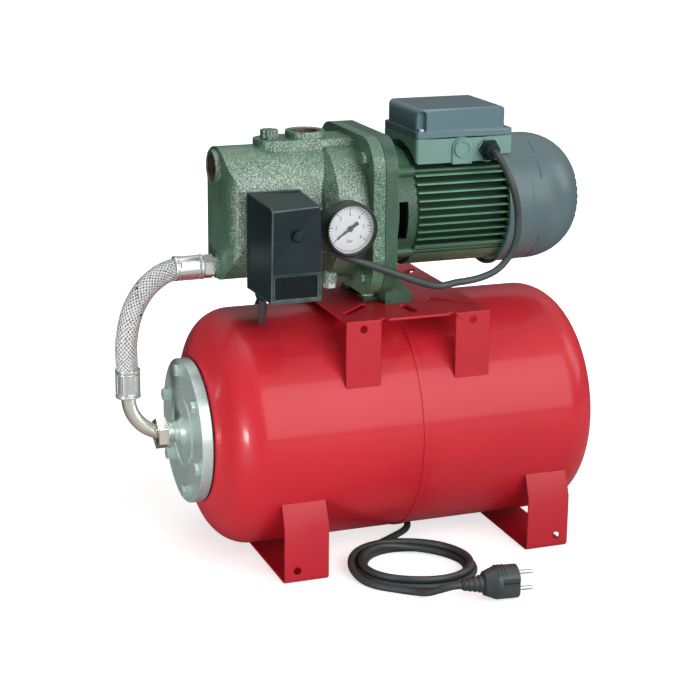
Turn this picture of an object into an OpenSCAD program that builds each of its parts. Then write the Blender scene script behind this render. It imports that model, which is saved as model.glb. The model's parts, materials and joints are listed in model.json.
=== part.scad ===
// Domestic water booster set: a self-priming jet pump with its motor on a horizontal pressure tank.
// X runs along the pump shaft, from the suction side to the fan; Z is up; the floor is Z = 0.

/* [Pressure tank] */
// Outer diameter of the tank
tank_d = 270; // [262:1:274]
// Length of the welded shell over its two heads
tank_len = 483; // [477:1:490]
// Height of the tank's axis above the floor
tank_axis_h = 145; // [143:1:149]
// Thickness of the tank's sheet
tank_wall = 2; // [1.5:0.25:2.5]
// Radius of the knuckle between the shell and a head
knuckle_r = 44; // [38:1:50]
// Radius of a head's crown
crown_r = 260; // [245:1:275]
// Diameter of the counter-flange
flange_d = 164; // [162:1:166]
// Pitch diameter of the counter-flange's six bolts
flange_pcd = 138; // [136:1:140]

/* [Feet and saddle] */
// Distance between the outer edges of the two feet
feet_span = 346.6; // [340:1:352]
// Width of one foot's strap
foot_w = 51.7; // [48:1:55]
// Depth of the feet, front to back
foot_depth = 270; // [266:1:274]
// Height at which a foot's side bends in towards the tank
foot_bend_h = 62.4; // [58:1:66]
// Thickness of the feet's steel strap
strap_t = 2.8; // [2.4:0.1:3.2]
// Diameter of the holes in the feet and in the saddle's legs
side_hole_d = 9; // [7:0.5:10]
// Length of the saddle plate along the tank
plate_len = 170.6; // [168:1:174]
// Depth of the saddle plate
plate_depth = 233.8; // [228:1:238]
// Thickness of the saddle plate
plate_t = 3; // [2.5:0.25:3.5]
// Gap between the top of the tank and the saddle plate
plate_gap = 5.6; // [5.2:0.2:7]
// Width of one leg of the saddle plate
leg_w = 41; // [36:1:46]

/* [Pump] */
// Height of the shaft above the saddle plate
shaft_h = 101.7; // [100:1:105]
// Length of the pump body from the joint to its nose
body_len = 164.5; // [162:1:168]
// Width of the pump body's nose
body_w = 107; // [105:1:109]
// Height of the pump body's nose
body_h = 148; // [146:1:150]
// Thickness of the pump body's cast wall
body_wall = 6; // [5:0.5:7]
// Outer diameter of the impeller chamber
chamber_d = 156; // [154:1:158]
// Side of the square joint flange
joint_side = 177; // [174:1:180]
// Corner radius of the joint flange
joint_corner = 37; // [34:1:40]
// Thickness of the body's joint flange
joint_lip = 13.5; // [12:0.5:15]
// Bore of the suction and delivery ports, for a one inch pipe thread
port_bore_d = 30.3; // [29:0.1:31]
// Diameter of the impeller
impeller_d = 116; // [108:1:122]
// Number of impeller vanes
impeller_vanes = 6; // [4:1:7]

/* [Motor] */
// Length of the finned motor frame
frame_len = 111.5; // [108:0.5:114]
// Diameter over the fins
fin_d = 142; // [140:1:143]
// Diameter of the frame's core
core_d = 120; // [118:1:122]
// Number of fins on each side
fin_count = 10; // [8:1:10]
// Pitch of the fins
fin_pitch = 8.83; // [8.5:0.05:8.9]
// Thickness of one fin
fin_t = 2; // [1.6:0.1:2.6]
// Diameter of the shaft in its bearings
shaft_d = 15; // [14:0.5:15]
// Diameter of the fan cover's skirt
cover_d = 148.4; // [147:0.5:150]
// Length of the fan cover
cover_len = 108; // [106:1:112]
// Number of fan blades
fan_blades = 7; // [5:1:9]
// Length of the terminal box along the motor
box_len = 117.5; // [115:0.5:119]
// Height of the terminal box's lid
lid_h = 32.5; // [31:0.5:34]

/* [Pressure switch and gauge] */
// Width of the switch cover
switch_w = 56; // [54:1:58]
// Height of the switch cover
switch_h = 99.5; // [97:1:102]
// Depth of the switch cover
switch_depth = 70; // [67:1:73]
// Diameter of the gauge's case
gauge_d = 59; // [57:1:60]

/* [Hose and cords] */
// Diameter of the braided hose
hose_d = 24.6; // [23:0.2:25]
// Diameter of the elbow's pipe
elbow_d = 16; // [15:0.5:17]
// Diameter of the mains cord
cord_d = 8.2; // [7.5:0.1:8.4]
// Diameter of the motor lead
lead_d = 8; // [7:0.1:8.4]
// Diameter of the mains plug's body
plug_d = 37; // [35:0.5:39]

/* [Fits] */
// Radial running clearance of the shaft in its bearings
run_gap = 0.05; // [0.02:0.01:0.1]
// Clearance between the lid of the terminal box and its base
lid_gap = 0.3; // [0.3:0.05:0.5]

/* [Hidden] */
$fn = 72;
tank_r = tank_d / 2;
tank_x = 33.2;
tank_left = tank_x - tank_len / 2;
tank_right = tank_x + tank_len / 2;
feet_x = 40.5;
tank_z = tank_axis_h;
flap_y = foot_depth / 2 - 11.5;
flap_z = tank_z - sqrt(tank_r ^ 2 - flap_y ^ 2);
plate_top = tank_z + tank_r + plate_gap + plate_t;
plate_x = 28.9;
shaft_z = plate_top + shaft_h;
joint_x = -2;
gasket_t = 1;
bracket_x = joint_x + gasket_t;
rim_t = 14;
frame_x = bracket_x + rim_t + 33;
frame_end = frame_x + frame_len;
shield_t = 10;
cover_x = frame_end - 3.5;
cover_flare = 2.8;
cover_end = cover_x + cover_len;
nose_x = joint_x - body_len;
joint_bolt = joint_side / 2 - 22.5;
tie_y = 48.9;
tie_z = 45.2;
body_mid_z = shaft_z + 2.2;
flat_half = (body_h - body_w) / 2;
nose_edge_r = 21.5;
chamber_x = joint_x - 47.5;
port_z = shaft_z + 53.5;
pad_top = body_mid_z + body_h / 2 + 6.1;
outlet_x = -64;
outlet_top = pad_top + 7.4;
prime_x = -105.5;
drain_at = [-46, -35, shaft_z - 76.8];
hose_port_z = shaft_z - 56.8;
switch_x = -123;
switch_z = shaft_z - 15.6;
switch_back = -74;
switch_base_t = 8;
switch_boss_y = -66;
switch_drop = 2.4;
switch_rise = 3;
switch_draft = 2;
cover_gap = 0.3;
gauge_at = [-48.7, -92, shaft_z - 1.6];
gauge_t = 20;
neck_x = tank_left + 4.3;
lip_t = 2;
flange_t = 3.5;
flange_x = neck_x - lip_t - flange_t;
hub_x = flange_x - 12;
elbow_bend = 46;
elbow_x = hub_x - 49.5;
ferrule_r = 14.2;
ferrule_len = 33;
nipple_x = nose_x - 6;
box_x = frame_x + 3;
box_y = [-50, 47];
box_seat_r = fin_d / 2 + 1.5;
box_z = shaft_z + box_seat_r - 22.8;
box_top = box_z + 31.2;
lid_z = box_top + lid_gap;
lid_wall = 3;
lid_rim_h = 7.5;
lid_corner = 8;
lid_from = [box_x + 1, box_y[0] + 0.7];
lid_size = [108.5, 90.3];
lid_channel_r = 4.7;
gland_at = [box_x + 87, -53, box_z + 16];
blank_at = [box_x + 55, -53, box_z + 19];
capacitor_at = [box_x + 20, 19, box_z + 38];
capacitor_len = 62;
capacitor_r = 14.5;
mains_gland = [-141, -84, switch_z - switch_h / 2];
lead_gland = [switch_x + switch_w / 2, -84, switch_z - 12.7];
bearing_r = 17.5;
bearing_w = 11;
front_bearing_x = frame_x - 12;
stator_r = core_d / 2 - 8;
stator_x = frame_x + 20;
stator_len = 68;
air_gap = 0.6;
fan_x = frame_end + 16.5;
fan_r = 60;
coil_at = [19, -144.7];
coil_turn = -22.7;
coil_stretch = 18.6;
coil_r = [42, 60];
coil_h = 15.4;
plug_turn = -7;
plug_at = [57, -241, plug_d / 2];
relief_len = 24;
plug_tail = plug_at - relief_len * [cos(plug_turn), sin(plug_turn), 0];
pin_gap = 19;

// Routes of the cords, from the end named first
lead_route = [[gland_at[0], -67, gland_at[2]], [136, -78.5, 453], [137, -90, 446],
  [140, -99, 434.5], [144.5, -102.5, 420.5], [150.5, -100, 403], [154.5, -95.5, 388],
  [155.5, -94.5, 371], [153, -93, 354], [145, -92, 338.5], [132, -92, 326.5], [116, -91.5, 320],
  [100, -91, 317], [84, -90, 315.5], [62, -91, 313.5], [40, -93, 320], [17.5, -95, 329],
  [-8, -96, 339.5], [-31, -96, 348.5], [-46.5, -93.5, 354], [-59, -87.5, 359], [-71.5, -84.5, 361.5],
  [lead_gland[0] + 12, -84, lead_gland[2]]];
mains_route = [[mains_gland[0], mains_gland[1], mains_gland[2] - 12], [-140.5, -81, 303],
  [-138.5, -74, 292], [-135, -63.5, 283.5], [-131, -50.5, 280], [-125, -34.5, 281.5],
  [-117, -11, 287.5], [-109, 12, 286], [-103, 32, 282.5], [-97, 64, 271], [-91, 92.5, 251.5],
  [-85, 115.5, 226], [-79, 132, 195.5], [-74, 140.5, 162], [-70, 144, 128], [-66, 145, 94],
  [-61, 143, 60], [-54, 136, 31], [-42, 123, 11.5], [-25, 108, 4.8], [-3, 86, 4.2],
  [17, 66.5, 4.2], [36, 48.5, 4.2], [53, 32, 4.2], [61.5, 16, 4.2], [64, 0, 4.2],
  [61.5, -16, 4.2], [54.5, -30.5, 4.2], [43.5, -41.5, 4.2], [25, -54, 4.2], [-2, -71, 4.2],
  [-24, -87, 4.2], [-36.5, -103, 4.2]];
plug_route = [[-23.5, -193.5, 4.2], [-8, -208.5, 4.5], [1.5, -221, 7.5], [12, -230.5, 13.5],
  [23, -235.5, 17.5], plug_tail];
// The hose as shares of the way from the nipple to the lower ferrule: along X, and down
hose_from = [nipple_x - 20, 0, hose_port_z];
hose_to = [elbow_x, 0, tank_z + elbow_bend + 9];
hose_shape = [[0, 0], [0.16, 0], [0.312, 0.0075], [0.465, 0.0375], [0.605, 0.09], [0.733, 0.161],
  [0.834, 0.247], [0.917, 0.348], [0.975, 0.468], [1.006, 0.588], [1.013, 0.7], [1.006, 0.798], [1, 1]];
hose_route = [for (p = hose_shape)
  [hose_from[0] + p[0] * (hose_to[0] - hose_from[0]), 0, hose_from[2] + p[1] * (hose_to[2] - hose_from[2])]];

function unit(v) = v / norm(v);
function between(a, b, c, d, t) =
  0.5 * (2 * b + (c - a) * t + (2 * a - 5 * b + 4 * c - d) * t ^ 2 + (3 * b - a - 3 * c + d) * t ^ 3);
function smooth(p, steps) = [for (i = [0:len(p) - 2]) for (j = [0:steps - 1])
    between(p[max(i - 1, 0)], p[i], p[i + 1], p[min(i + 2, len(p) - 1)], j / steps),
  p[len(p) - 1]];
function arc(c, r, a, b, n) = [for (i = [0:n]) c + r * [cos(a + (b - a) * i / n), sin(a + (b - a) * i / n)]];

// A round tube swept along a route; side is a direction that the route never takes
module tube_along(route, d, side, sides = 10) {
  n = len(route);
  rings = [for (i = [0:n - 1])
    let (t = unit(route[min(i + 1, n - 1)] - route[max(i - 1, 0)]),
      u = unit(cross(t, side)),
      v = cross(t, u))
      for (k = [0:sides - 1])
        route[i] + d / 2 * (cos(360 * k / sides) * u + sin(360 * k / sides) * v)];
  walls = [for (i = [0:n - 2]) for (k = [0:sides - 1])
    let (a = i * sides + k, b = i * sides + (k + 1) % sides)
      each [[a, b + sides, b], [a, a + sides, b + sides]]];
  near_end = [[for (k = [0:sides - 1]) k]];
  far_end = [[for (k = [sides - 1:-1:0]) (n - 1) * sides + k]];
  polyhedron(rings, concat(near_end, walls, far_end));
}

// Local Z laid along X, Y or minus Y
module along_x(at) translate(at) rotate([0, 90, 0]) children();
module along_y(at) translate(at) rotate([-90, 0, 0]) children();
module against_y(at) translate(at) rotate([90, 0, 0]) children();
module hexagon(across, h) cylinder(d = across / cos(30), h = h, $fn = 6);
module ring(outer, inner, h) {
  difference() {
    cylinder(r = outer, h = h);
    translate([0, 0, -1]) cylinder(r = inner, h = h + 2);
  }
}

// Tank: half of the shell's outline, drawn as radius against length, inset by t
module half_outline(t) {
  r = tank_r - t;
  k = knuckle_r - t;
  c = crown_r - t;
  end = tank_len / 2 - t;
  knuckle_at = [r - k, end - c + sqrt((c - k) ^ 2 - (r - k) ^ 2)];
  crown_at = [0, end - c];
  reach = 2 * (knuckle_at - crown_at);
  intersection() {
    square([tank_r + 1, tank_len]);
    union() {
      square([r, knuckle_at[1]]);
      translate(knuckle_at) circle(k, $fn = 120);
      intersection() {
        translate(crown_at) circle(c, $fn = 240);
        polygon([crown_at, crown_at + reach, crown_at + [0, norm(reach)]]);
      }
    }
  }
}
module half_shell() {
  rotate_extrude()
    difference() {
      half_outline(0);
      half_outline(tank_wall);
    }
}
module tank_right_shell() {
  color("firebrick")
    difference() {
      along_x([tank_x, 0, tank_z]) half_shell();
      along_x([tank_right - 10, 0, tank_z]) cylinder(r = 4, h = 20);
    }
}
module tank_left_shell() {
  color("firebrick")
    difference() {
      along_x([tank_x, 0, tank_z]) mirror([0, 0, 1]) half_shell();
      along_x([tank_left - 5, 0, tank_z]) cylinder(r = 60, h = 20);
    }
}
module tank_seam_weld() {
  color("firebrick")
    along_x([tank_x - 3, 0, tank_z]) ring(tank_r + 1.2, tank_r, 6);
}
module tank_form() {
  along_x([tank_x, 0, tank_z]) {
    rotate_extrude() half_outline(0);
    mirror([0, 0, 1]) rotate_extrude() half_outline(0);
  }
}
module on_flange_circle() {
  for (i = [0:5]) {
    rotate([0, 0, 20 + 60 * i]) translate([0, flange_pcd / 2, 0]) children();
  }
}
module neck_ring() {
  color("firebrick")
    difference() {
      along_x([neck_x, 0, tank_z]) ring(78, 60, 14);
      translate([tank_left + crown_r, 0, tank_z]) sphere(crown_r, $fn = 240);
      along_x([neck_x - 1, 0, tank_z]) on_flange_circle() cylinder(r = 4, h = 16);
    }
}
module bladder() {
  bulb_r = tank_r - 17;
  bulb_len = tank_len - 36;
  color("dimgray")
    along_x([neck_x - lip_t, 0, tank_z]) {
      difference() {
        ring(76, 56, lip_t);
        translate([0, 0, -1]) on_flange_circle() cylinder(r = 4.2, h = lip_t + 2);
      }
      rotate_extrude()
        difference() {
          bulb_outline(bulb_r, bulb_len, 0);
          bulb_outline(bulb_r, bulb_len, 2);
        }
    }
}
module bulb_outline(r, l, t) {
  turn = 90;
  polygon(concat([[0, t > 0 ? -1 : 0], [58 - t, t > 0 ? -1 : 0], [58 - t, 20]],
    arc([r - turn, 20 + turn * 0.9], turn - t, -65, 0, 6),
    arc([r - turn, l - turn], turn - t, 0, 90, 8), [[0, l - t]]));
}
module counter_flange() {
  color("silver")
    difference() {
      union() {
        along_x([flange_x, 0, tank_z]) cylinder(d = flange_d, h = flange_t);
        along_x([flange_x + flange_t, 0, tank_z]) ring(flange_d / 2, flange_d / 2 - 2.5, 9);
        along_x([hub_x, 0, tank_z]) cylinder(r = 12.5, h = 13);
        along_x([flange_x - 5, 0, tank_z]) cylinder(r1 = 12.5, r2 = 18, h = 5.5);
        along_x([hub_x - 4.5, 0, tank_z]) cylinder(r = 11.5, h = 5);
      }
      along_x([hub_x - 5, 0, tank_z]) cylinder(r = elbow_d / 2, h = 40);
      along_x([flange_x - 1, 0, tank_z]) ring(42.5, 37.5, 2.4);
      along_x([flange_x - 1, 0, tank_z]) on_flange_circle() cylinder(r = 4.2, h = flange_t + 2);
    }
}
module flange_bolts() {
  color("gainsboro")
    along_x([flange_x, 0, tank_z]) on_flange_circle() {
      translate([0, 0, -5.3]) hexagon(13, 5.3);
      cylinder(r = 4, h = 9.5);
    }
}
module air_valve() {
  color("gainsboro")
    along_x([tank_right - 9, 0, tank_z])
      difference() {
        union() {
          cylinder(r = 4, h = 17);
          translate([0, 0, 9]) cylinder(r1 = 9, r2 = 7, h = 3);
        }
        translate([0, 0, 5]) cylinder(r = 1.5, h = 20);
      }
}
module valve_cap() {
  color("black")
    along_x([tank_right + 3.3, 0, tank_z])
      difference() {
        union() {
          cylinder(r = 6, h = 7);
          translate([0, 0, 7]) cylinder(r1 = 6, r2 = 4.5, h = 1.4);
        }
        translate([0, 0, -1]) cylinder(r = 4.05, h = 6.2);
      }
}

// Feet: a steel strap bent round under the tank, its two ends welded to the shell
module strap_outline(inset) {
  half = foot_depth / 2 - inset;
  bend = 6 - inset;
  side = concat([[inset - flap_y, flap_z + inset], [-half, foot_bend_h]],
    arc([bend - half, inset + bend], bend, 180, 270, 4));
  polygon(concat(side, [for (i = [len(side) - 1:-1:0]) [-side[i][0], side[i][1]]]));
}
module foot(x0, hole_x) {
  color("firebrick")
    difference() {
      translate([x0, 0, 0]) rotate([90, 0, 90])
        linear_extrude(foot_w)
          difference() {
            strap_outline(0);
            strap_outline(strap_t);
            translate([-flap_y + 2.5, flap_z - 8]) square([2 * flap_y - 5, 40]);
          }
      tank_form();
      along_y([hole_x, -foot_depth, 14.5]) cylinder(d = side_hole_d, h = 2 * foot_depth);
    }
}
module foot_left() foot(feet_x - feet_span / 2, feet_x - feet_span / 2 + 14.8);
module foot_right() foot(feet_x + feet_span / 2 - foot_w, feet_x + feet_span / 2 - 14.8);

// Saddle plate: slotted top with four legs bent down to the tank
module slot(a, b, r) {
  way = b - a;
  translate(a) rotate([0, 0, atan2(way[1], way[0])]) {
    translate([0, -r]) square([norm(way), 2 * r]);
    circle(r);
    translate([norm(way), 0]) circle(r);
  }
}
module plate_outline() {
  difference() {
    square([plate_len, plate_depth], center = true);
    for (x = [-1, 1]) for (y = [-1, 1]) {
      slot([x * 40, y * 52], [x * 73, y * 83], 4.5);
      translate([x * (plate_len / 2 - leg_w - 4), y * (plate_depth / 2 - 2)]) circle(4);
    }
    for (y = [-1, 1]) {
      slot([0, y * 69], [2, y * 94], 4.5);
      translate([3.5 - plate_x, y * 26.3]) circle(4.5);
    }
  }
}
module plate_leg(x, side) {
  difference() {
    translate([x - leg_w / 2, side > 0 ? plate_depth / 2 - plate_t : -plate_depth / 2, tank_z])
      cube([leg_w, plate_t, plate_top - tank_z - 1]);
    along_y([x, -plate_depth, plate_top - 10]) cylinder(d = side_hole_d - 0.5, h = 2 * plate_depth);
  }
}
module pump_plate() {
  color("firebrick")
    difference() {
      union() {
        translate([plate_x, 0, plate_top - plate_t]) linear_extrude(plate_t) plate_outline();
        for (x = [-1, 1]) for (side = [-1, 1])
          plate_leg(plate_x + x * (plate_len - leg_w) / 2, side);
      }
      along_x([tank_x - tank_len / 2, 0, tank_z]) cylinder(r = tank_r, h = tank_len);
    }
}
module foot_bolts() {
  color("gainsboro")
    for (y = [-26.3, 26.3]) translate([3.5, y, plate_top]) {
      translate([0, 0, 4]) ring(8, 4, 1.5);
      translate([0, 0, 5.5]) hexagon(13, 5);
      translate([0, 0, -8]) cylinder(r = 4, h = 14);
      translate([0, 0, -plate_t - 4.5]) ring(6.5, 4, 4.5);
    }
}

// Hose line between the tank and the pump's nose
module elbow_form(r, spare) {
  translate([elbow_x + elbow_bend, 0, tank_z + elbow_bend]) rotate([90, 0, 0]) rotate([0, 0, 180])
    rotate_extrude(angle = 90) translate([elbow_bend, 0]) circle(r);
  translate([elbow_x, 0, tank_z + elbow_bend]) cylinder(r = r, h = 9 + spare);
  along_x([elbow_x + elbow_bend, 0, tank_z]) cylinder(r = r, h = 8 + spare);
}
module elbow_pipe() {
  color("gainsboro")
    difference() {
      union() {
        elbow_form(elbow_d / 2, 0);
        along_x([hub_x - 8.5, 0, tank_z]) cylinder(r = 11.5, h = 4);
      }
      elbow_form(elbow_d / 2 - 1.5, 1);
    }
}
module union_nut() {
  color("gainsboro")
    along_x([hub_x - 19, 0, tank_z])
      difference() {
        intersection() {
          hexagon(32, 19);
          translate([0, 0, -4]) cylinder(r1 = 14, r2 = 30, h = 16);
          translate([0, 0, -2]) cylinder(r1 = 40, r2 = 15.5, h = 23);
        }
        translate([0, 0, -1]) cylinder(r = 11.5, h = 21);
      }
}
module crimped_ferrule() {
  waist_r = 13;
  difference() {
    intersection() {
      union() {
        cylinder(r1 = ferrule_r, r2 = waist_r, h = ferrule_len / 2);
        translate([0, 0, ferrule_len / 2]) cylinder(r1 = waist_r, r2 = ferrule_r, h = ferrule_len / 2);
      }
      union() {
        cylinder(d = (2 * ferrule_r - 1.6) / cos(22.5), h = ferrule_len, $fn = 8);
        cylinder(r = ferrule_r, h = 4);
        translate([0, 0, ferrule_len - 4]) cylinder(r = ferrule_r, h = 4);
      }
    }
    translate([0, 0, 9]) cylinder(r = hose_d / 2 + 0.2, h = ferrule_len);
    translate([0, 0, -1]) cylinder(r = 8, h = 20);
  }
}
module hose_ferrules() {
  color("gainsboro") {
    translate([elbow_x, 0, tank_z + elbow_bend]) crimped_ferrule();
    along_x([nipple_x - 11, 0, hose_port_z]) mirror([0, 0, 1]) crimped_ferrule();
  }
}
module braided_hose() {
  color("silver") tube_along(smooth(hose_route, 2), hose_d, [0, 1, 0], 12);
}
module hose_nipple() {
  color("gainsboro")
    difference() {
      union() {
        along_x([nipple_x - 20, 0, hose_port_z]) cylinder(r = 8, h = 20);
        along_x([nipple_x - 11, 0, hose_port_z]) hexagon(24, 11);
        along_x([nipple_x, 0, hose_port_z]) cylinder(r = 10.5, h = 14);
      }
      along_x([nipple_x - 21, 0, hose_port_z]) cylinder(r = 5.5, h = 40);
    }
}

// Pump body: one casting, narrow at the nose and opening into the round impeller chamber
module nose_section(t) {
  for (x = [-flat_half, flat_half]) translate([x, 0]) circle(body_w / 2 - t);
  square([2 * flat_half, body_w - 2 * t], center = true);
}
module nose_plan(t) {
  r = nose_edge_r - t;
  half = body_w / 2 - t;
  start = nose_x + t;
  for (y = [-1, 1]) translate([start + r, y * (half - r)]) circle(r);
  translate([start, r - half]) square([body_len, 2 * (half - r)]);
  translate([start + r, -half]) square([body_len, 2 * half]);
}
module nose_form(t, length) {
  intersection() {
    along_x([nose_x + t, 0, body_mid_z]) linear_extrude(length - t) nose_section(t);
    translate([0, 0, body_mid_z - body_h]) linear_extrude(2 * body_h) nose_plan(t);
  }
}
module joint_outline() {
  near = joint_side / 2 - joint_corner;
  square([joint_side, 2 * near], center = true);
  square([2 * near, joint_side], center = true);
  for (x = [-near, near]) for (y = [-near, near]) translate([x, y]) circle(joint_corner);
}
module at_joint_bolts() {
  for (a = [-joint_bolt, joint_bolt]) for (b = [-joint_bolt, joint_bolt])
    translate([a, b, 0]) children();
}
module body_outside() {
  chamber_r = chamber_d / 2;
  nose_form(0, chamber_x - nose_x + 4);
  along_x([chamber_x - 12, 0, shaft_z]) cylinder(r1 = chamber_r - 14, r2 = chamber_r, h = 12);
  along_x([chamber_x, 0, shaft_z]) cylinder(r = chamber_r, h = joint_x - joint_lip - chamber_x + 1);
  along_x([joint_x - joint_lip, 0, shaft_z]) linear_extrude(joint_lip) joint_outline();
  along_x([joint_x - joint_lip, 0, shaft_z]) at_joint_bolts() translate([0, 0, -1.5]) cylinder(r = 10, h = 2);
  along_x([nose_x - 6, 0, port_z]) cylinder(r = 19.4, h = 20);
  along_x([nipple_x + 3, 0, hose_port_z]) cylinder(r = 14, h = 14);
  translate([-99.5, 0, shaft_z + 60]) cylinder(r = 24, h = pad_top - shaft_z - 60);
  translate([-99.5, -24, shaft_z + 60]) cube([joint_x - joint_lip + 100.5, 48, pad_top - shaft_z - 60]);
  translate([outlet_x, 0, shaft_z + 60]) cylinder(r = 22, h = outlet_top - shaft_z - 60);
  translate([drain_at[0], drain_at[1], drain_at[2]]) cylinder(r = 9, h = 18);
  along_y([switch_x + 1.5, switch_boss_y, switch_z + 14]) cylinder(r = 14, h = 20);
  against_y([gauge_at[0], -66, gauge_at[2]]) cylinder(r = 11, h = 17);
}
module body_inside() {
  divider = 6;
  duct_x = nose_x + 35.5;
  // Suction duct from the port down to the ejector
  intersection() {
    nose_form(body_wall, duct_x - nose_x);
    translate([nose_x, -body_w, shaft_z - 22]) cube([body_len, 2 * body_w, body_h]);
  }
  // Delivery space behind and below the duct
  intersection() {
    nose_form(body_wall, chamber_x + 4 - nose_x);
    union() {
      translate([duct_x + divider, -body_w, 0]) cube([body_len, 2 * body_w, 2 * shaft_z]);
      translate([nose_x, -body_w, 0]) cube([body_len, 2 * body_w, shaft_z - 22 - divider]);
    }
  }
  along_x([chamber_x + 3.5, 0, shaft_z]) cylinder(r = chamber_d / 2 - body_wall, h = 60);
  along_x([duct_x - 1, 0, shaft_z]) cylinder(r = 16, h = divider + 2);
}
module body_bores() {
  port_r = port_bore_d / 2;
  along_x([nose_x - 7, 0, port_z]) cylinder(r = port_r, h = 20);
  along_x([nose_x - 6.5, 0, port_z]) cylinder(r1 = port_r + 2, r2 = port_r, h = 2.5);
  translate([outlet_x, 0, shaft_z + 60]) cylinder(r = port_r, h = 40);
  translate([outlet_x, 0, outlet_top - 2]) cylinder(r1 = port_r, r2 = port_r + 2.5, h = 2.5);
  translate([prime_x, 0, shaft_z + 60]) cylinder(r = 8, h = 40);
  along_x([nipple_x - 1, 0, hose_port_z]) cylinder(r = 10.5, h = 20);
  translate([drain_at[0], drain_at[1], drain_at[2] - 1]) cylinder(r = 5, h = 24);
  along_y([switch_x + 1.5, switch_boss_y - 1, switch_z + 14]) cylinder(r = 6.5, h = 22);
  against_y([gauge_at[0], -55, gauge_at[2]]) cylinder(r = 5, h = 30);
  along_x([joint_x - joint_lip - 3, 0, shaft_z]) at_joint_bolts() cylinder(r = 4.2, h = joint_lip + 4);
}
module pump_body() {
  color("darkgreen")
    difference() {
      body_outside();
      body_inside();
      body_bores();
    }
}
module priming_plug() {
  color("darkgreen")
    translate([prime_x, 0, pad_top]) {
      difference() {
        cylinder(r = 10, h = 9.9);
        for (i = [0:7]) rotate([0, 0, 45 * i]) translate([11, 0, -1]) cylinder(r = 2.2, h = 12);
      }
      translate([0, 0, -14]) cylinder(r = 7.95, h = 15);
    }
}
module drain_plug() {
  color("gainsboro")
    translate([drain_at[0], drain_at[1], drain_at[2] - 5.8]) {
      hexagon(13.5, 5.8);
      cylinder(r = 4.95, h = 17);
    }
}
module body_bolts() {
  color("darkgreen")
    along_x([joint_x - joint_lip - 1.5, 0, shaft_z]) at_joint_bolts() {
      translate([0, 0, -5.3]) hexagon(13, 5.3);
      cylinder(r = 4, h = joint_lip + 12);
    }
}
module body_gasket() {
  color("black")
    along_x([joint_x, 0, shaft_z])
      difference() {
        linear_extrude(gasket_t)
          difference() {
            joint_outline();
            circle(chamber_d / 2 - body_wall);
          }
        translate([0, 0, -1]) at_joint_bolts() cylinder(r = 5, h = gasket_t + 2);
      }
}
module ejector() {
  start = nose_x + 35.5;
  color("goldenrod")
    along_x([start - 14, 0, shaft_z])
      rotate_extrude()
        polygon([[4, 0], [9, 0], [11, 14], [16, 14], [16, 20], [13, 20], [11, 40], [14, 106],
          [11, 106], [6, 40], [6, 24], [9.5, 18], [7, 12]]);
}

// Curved blades cut from a ring between two radii
module blades(count, bend_r, offset_x, thick, inner, outer) {
  intersection() {
    difference() {
      circle(outer);
      circle(inner);
    }
    for (i = [0:count - 1]) rotate(360 * i / count)
      intersection() {
        translate([offset_x, 0])
          difference() {
            circle(bend_r);
            circle(bend_r - thick);
          }
        translate([0, 0]) square([outer + 1, outer + 1]);
      }
  }
}
module diffuser() {
  rim_r = chamber_d / 2 - body_wall;
  color("goldenrod")
    along_x([bracket_x, 0, shaft_z]) {
      difference() {
        union() {
          translate([0, 0, -29]) cylinder(r = rim_r, h = 4);
          translate([0, 0, -25]) ring(rim_r, rim_r - 4, 25);
          translate([0, 0, -43]) cylinder(r = 18, h = 15);
          translate([0, 0, -36]) linear_extrude(7.5) blades(6, 34, 33, 2.5, 17, rim_r - 1);
        }
        translate([0, 0, -32]) cylinder(r = 20.3, h = 10);
        translate([0, 0, -44]) cylinder(r = 14, h = 20);
      }
    }
}
module impeller() {
  r = impeller_d / 2;
  color("goldenrod")
    along_x([bracket_x, 0, shaft_z])
      difference() {
        union() {
          translate([0, 0, -9]) cylinder(r = r, h = 3);
          translate([0, 0, -21]) cylinder(r = 11, h = 15.5);
          translate([0, 0, -18.5]) linear_extrude(9.6) blades(impeller_vanes, 32, 31, 2.5, 10.5, r);
          translate([0, 0, -21.5]) ring(r, 17.5, 3);
          translate([0, 0, -26]) ring(19.8, 17.5, 7.5);
        }
        translate([0, 0, -30]) cylinder(r = 7, h = 40);
      }
}
module seal_seat() {
  color("white") along_x([bracket_x, 0, shaft_z]) ring(14, 8.5, 6);
}
module seal_ring() {
  color("dimgray") along_x([bracket_x - 5.5, 0, shaft_z]) ring(12.5, 7, 5.2);
}

// Bracket between the pump body and the motor, with the pump's only foot
module foot_side() {
  polygon([[rim_t - 1, 0], [rim_t + 30.5, 0], [rim_t + 30.5, 13], [rim_t + 25.4, 14.5],
    [rim_t + 11, 36], [rim_t + 11, 40], [rim_t - 1, 40]]);
}
module bracket_foot() {
  translate([bracket_x, 0, plate_top]) {
    difference() {
      translate([0, 58, 0]) rotate([90, 0, 0]) linear_extrude(116) foot_side();
      translate([rim_t + 6, -52, 8]) cube([40, 104, 60]);
    }
    difference() {
      translate([-5, -37, 0]) cube([rim_t + 6, 74, 4]);
      translate([-10, -16, -1]) cube([rim_t + 9, 32, 6]);
      for (y = [-26.3, 26.3]) translate([3.5 - bracket_x, y, -1]) cylinder(r = 4.2, h = 6);
    }
  }
}
module at_tie_rods() {
  for (y = [-tie_y, tie_y]) for (z = [-tie_z, tie_z]) translate([z, y, 0]) children();
}
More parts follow.
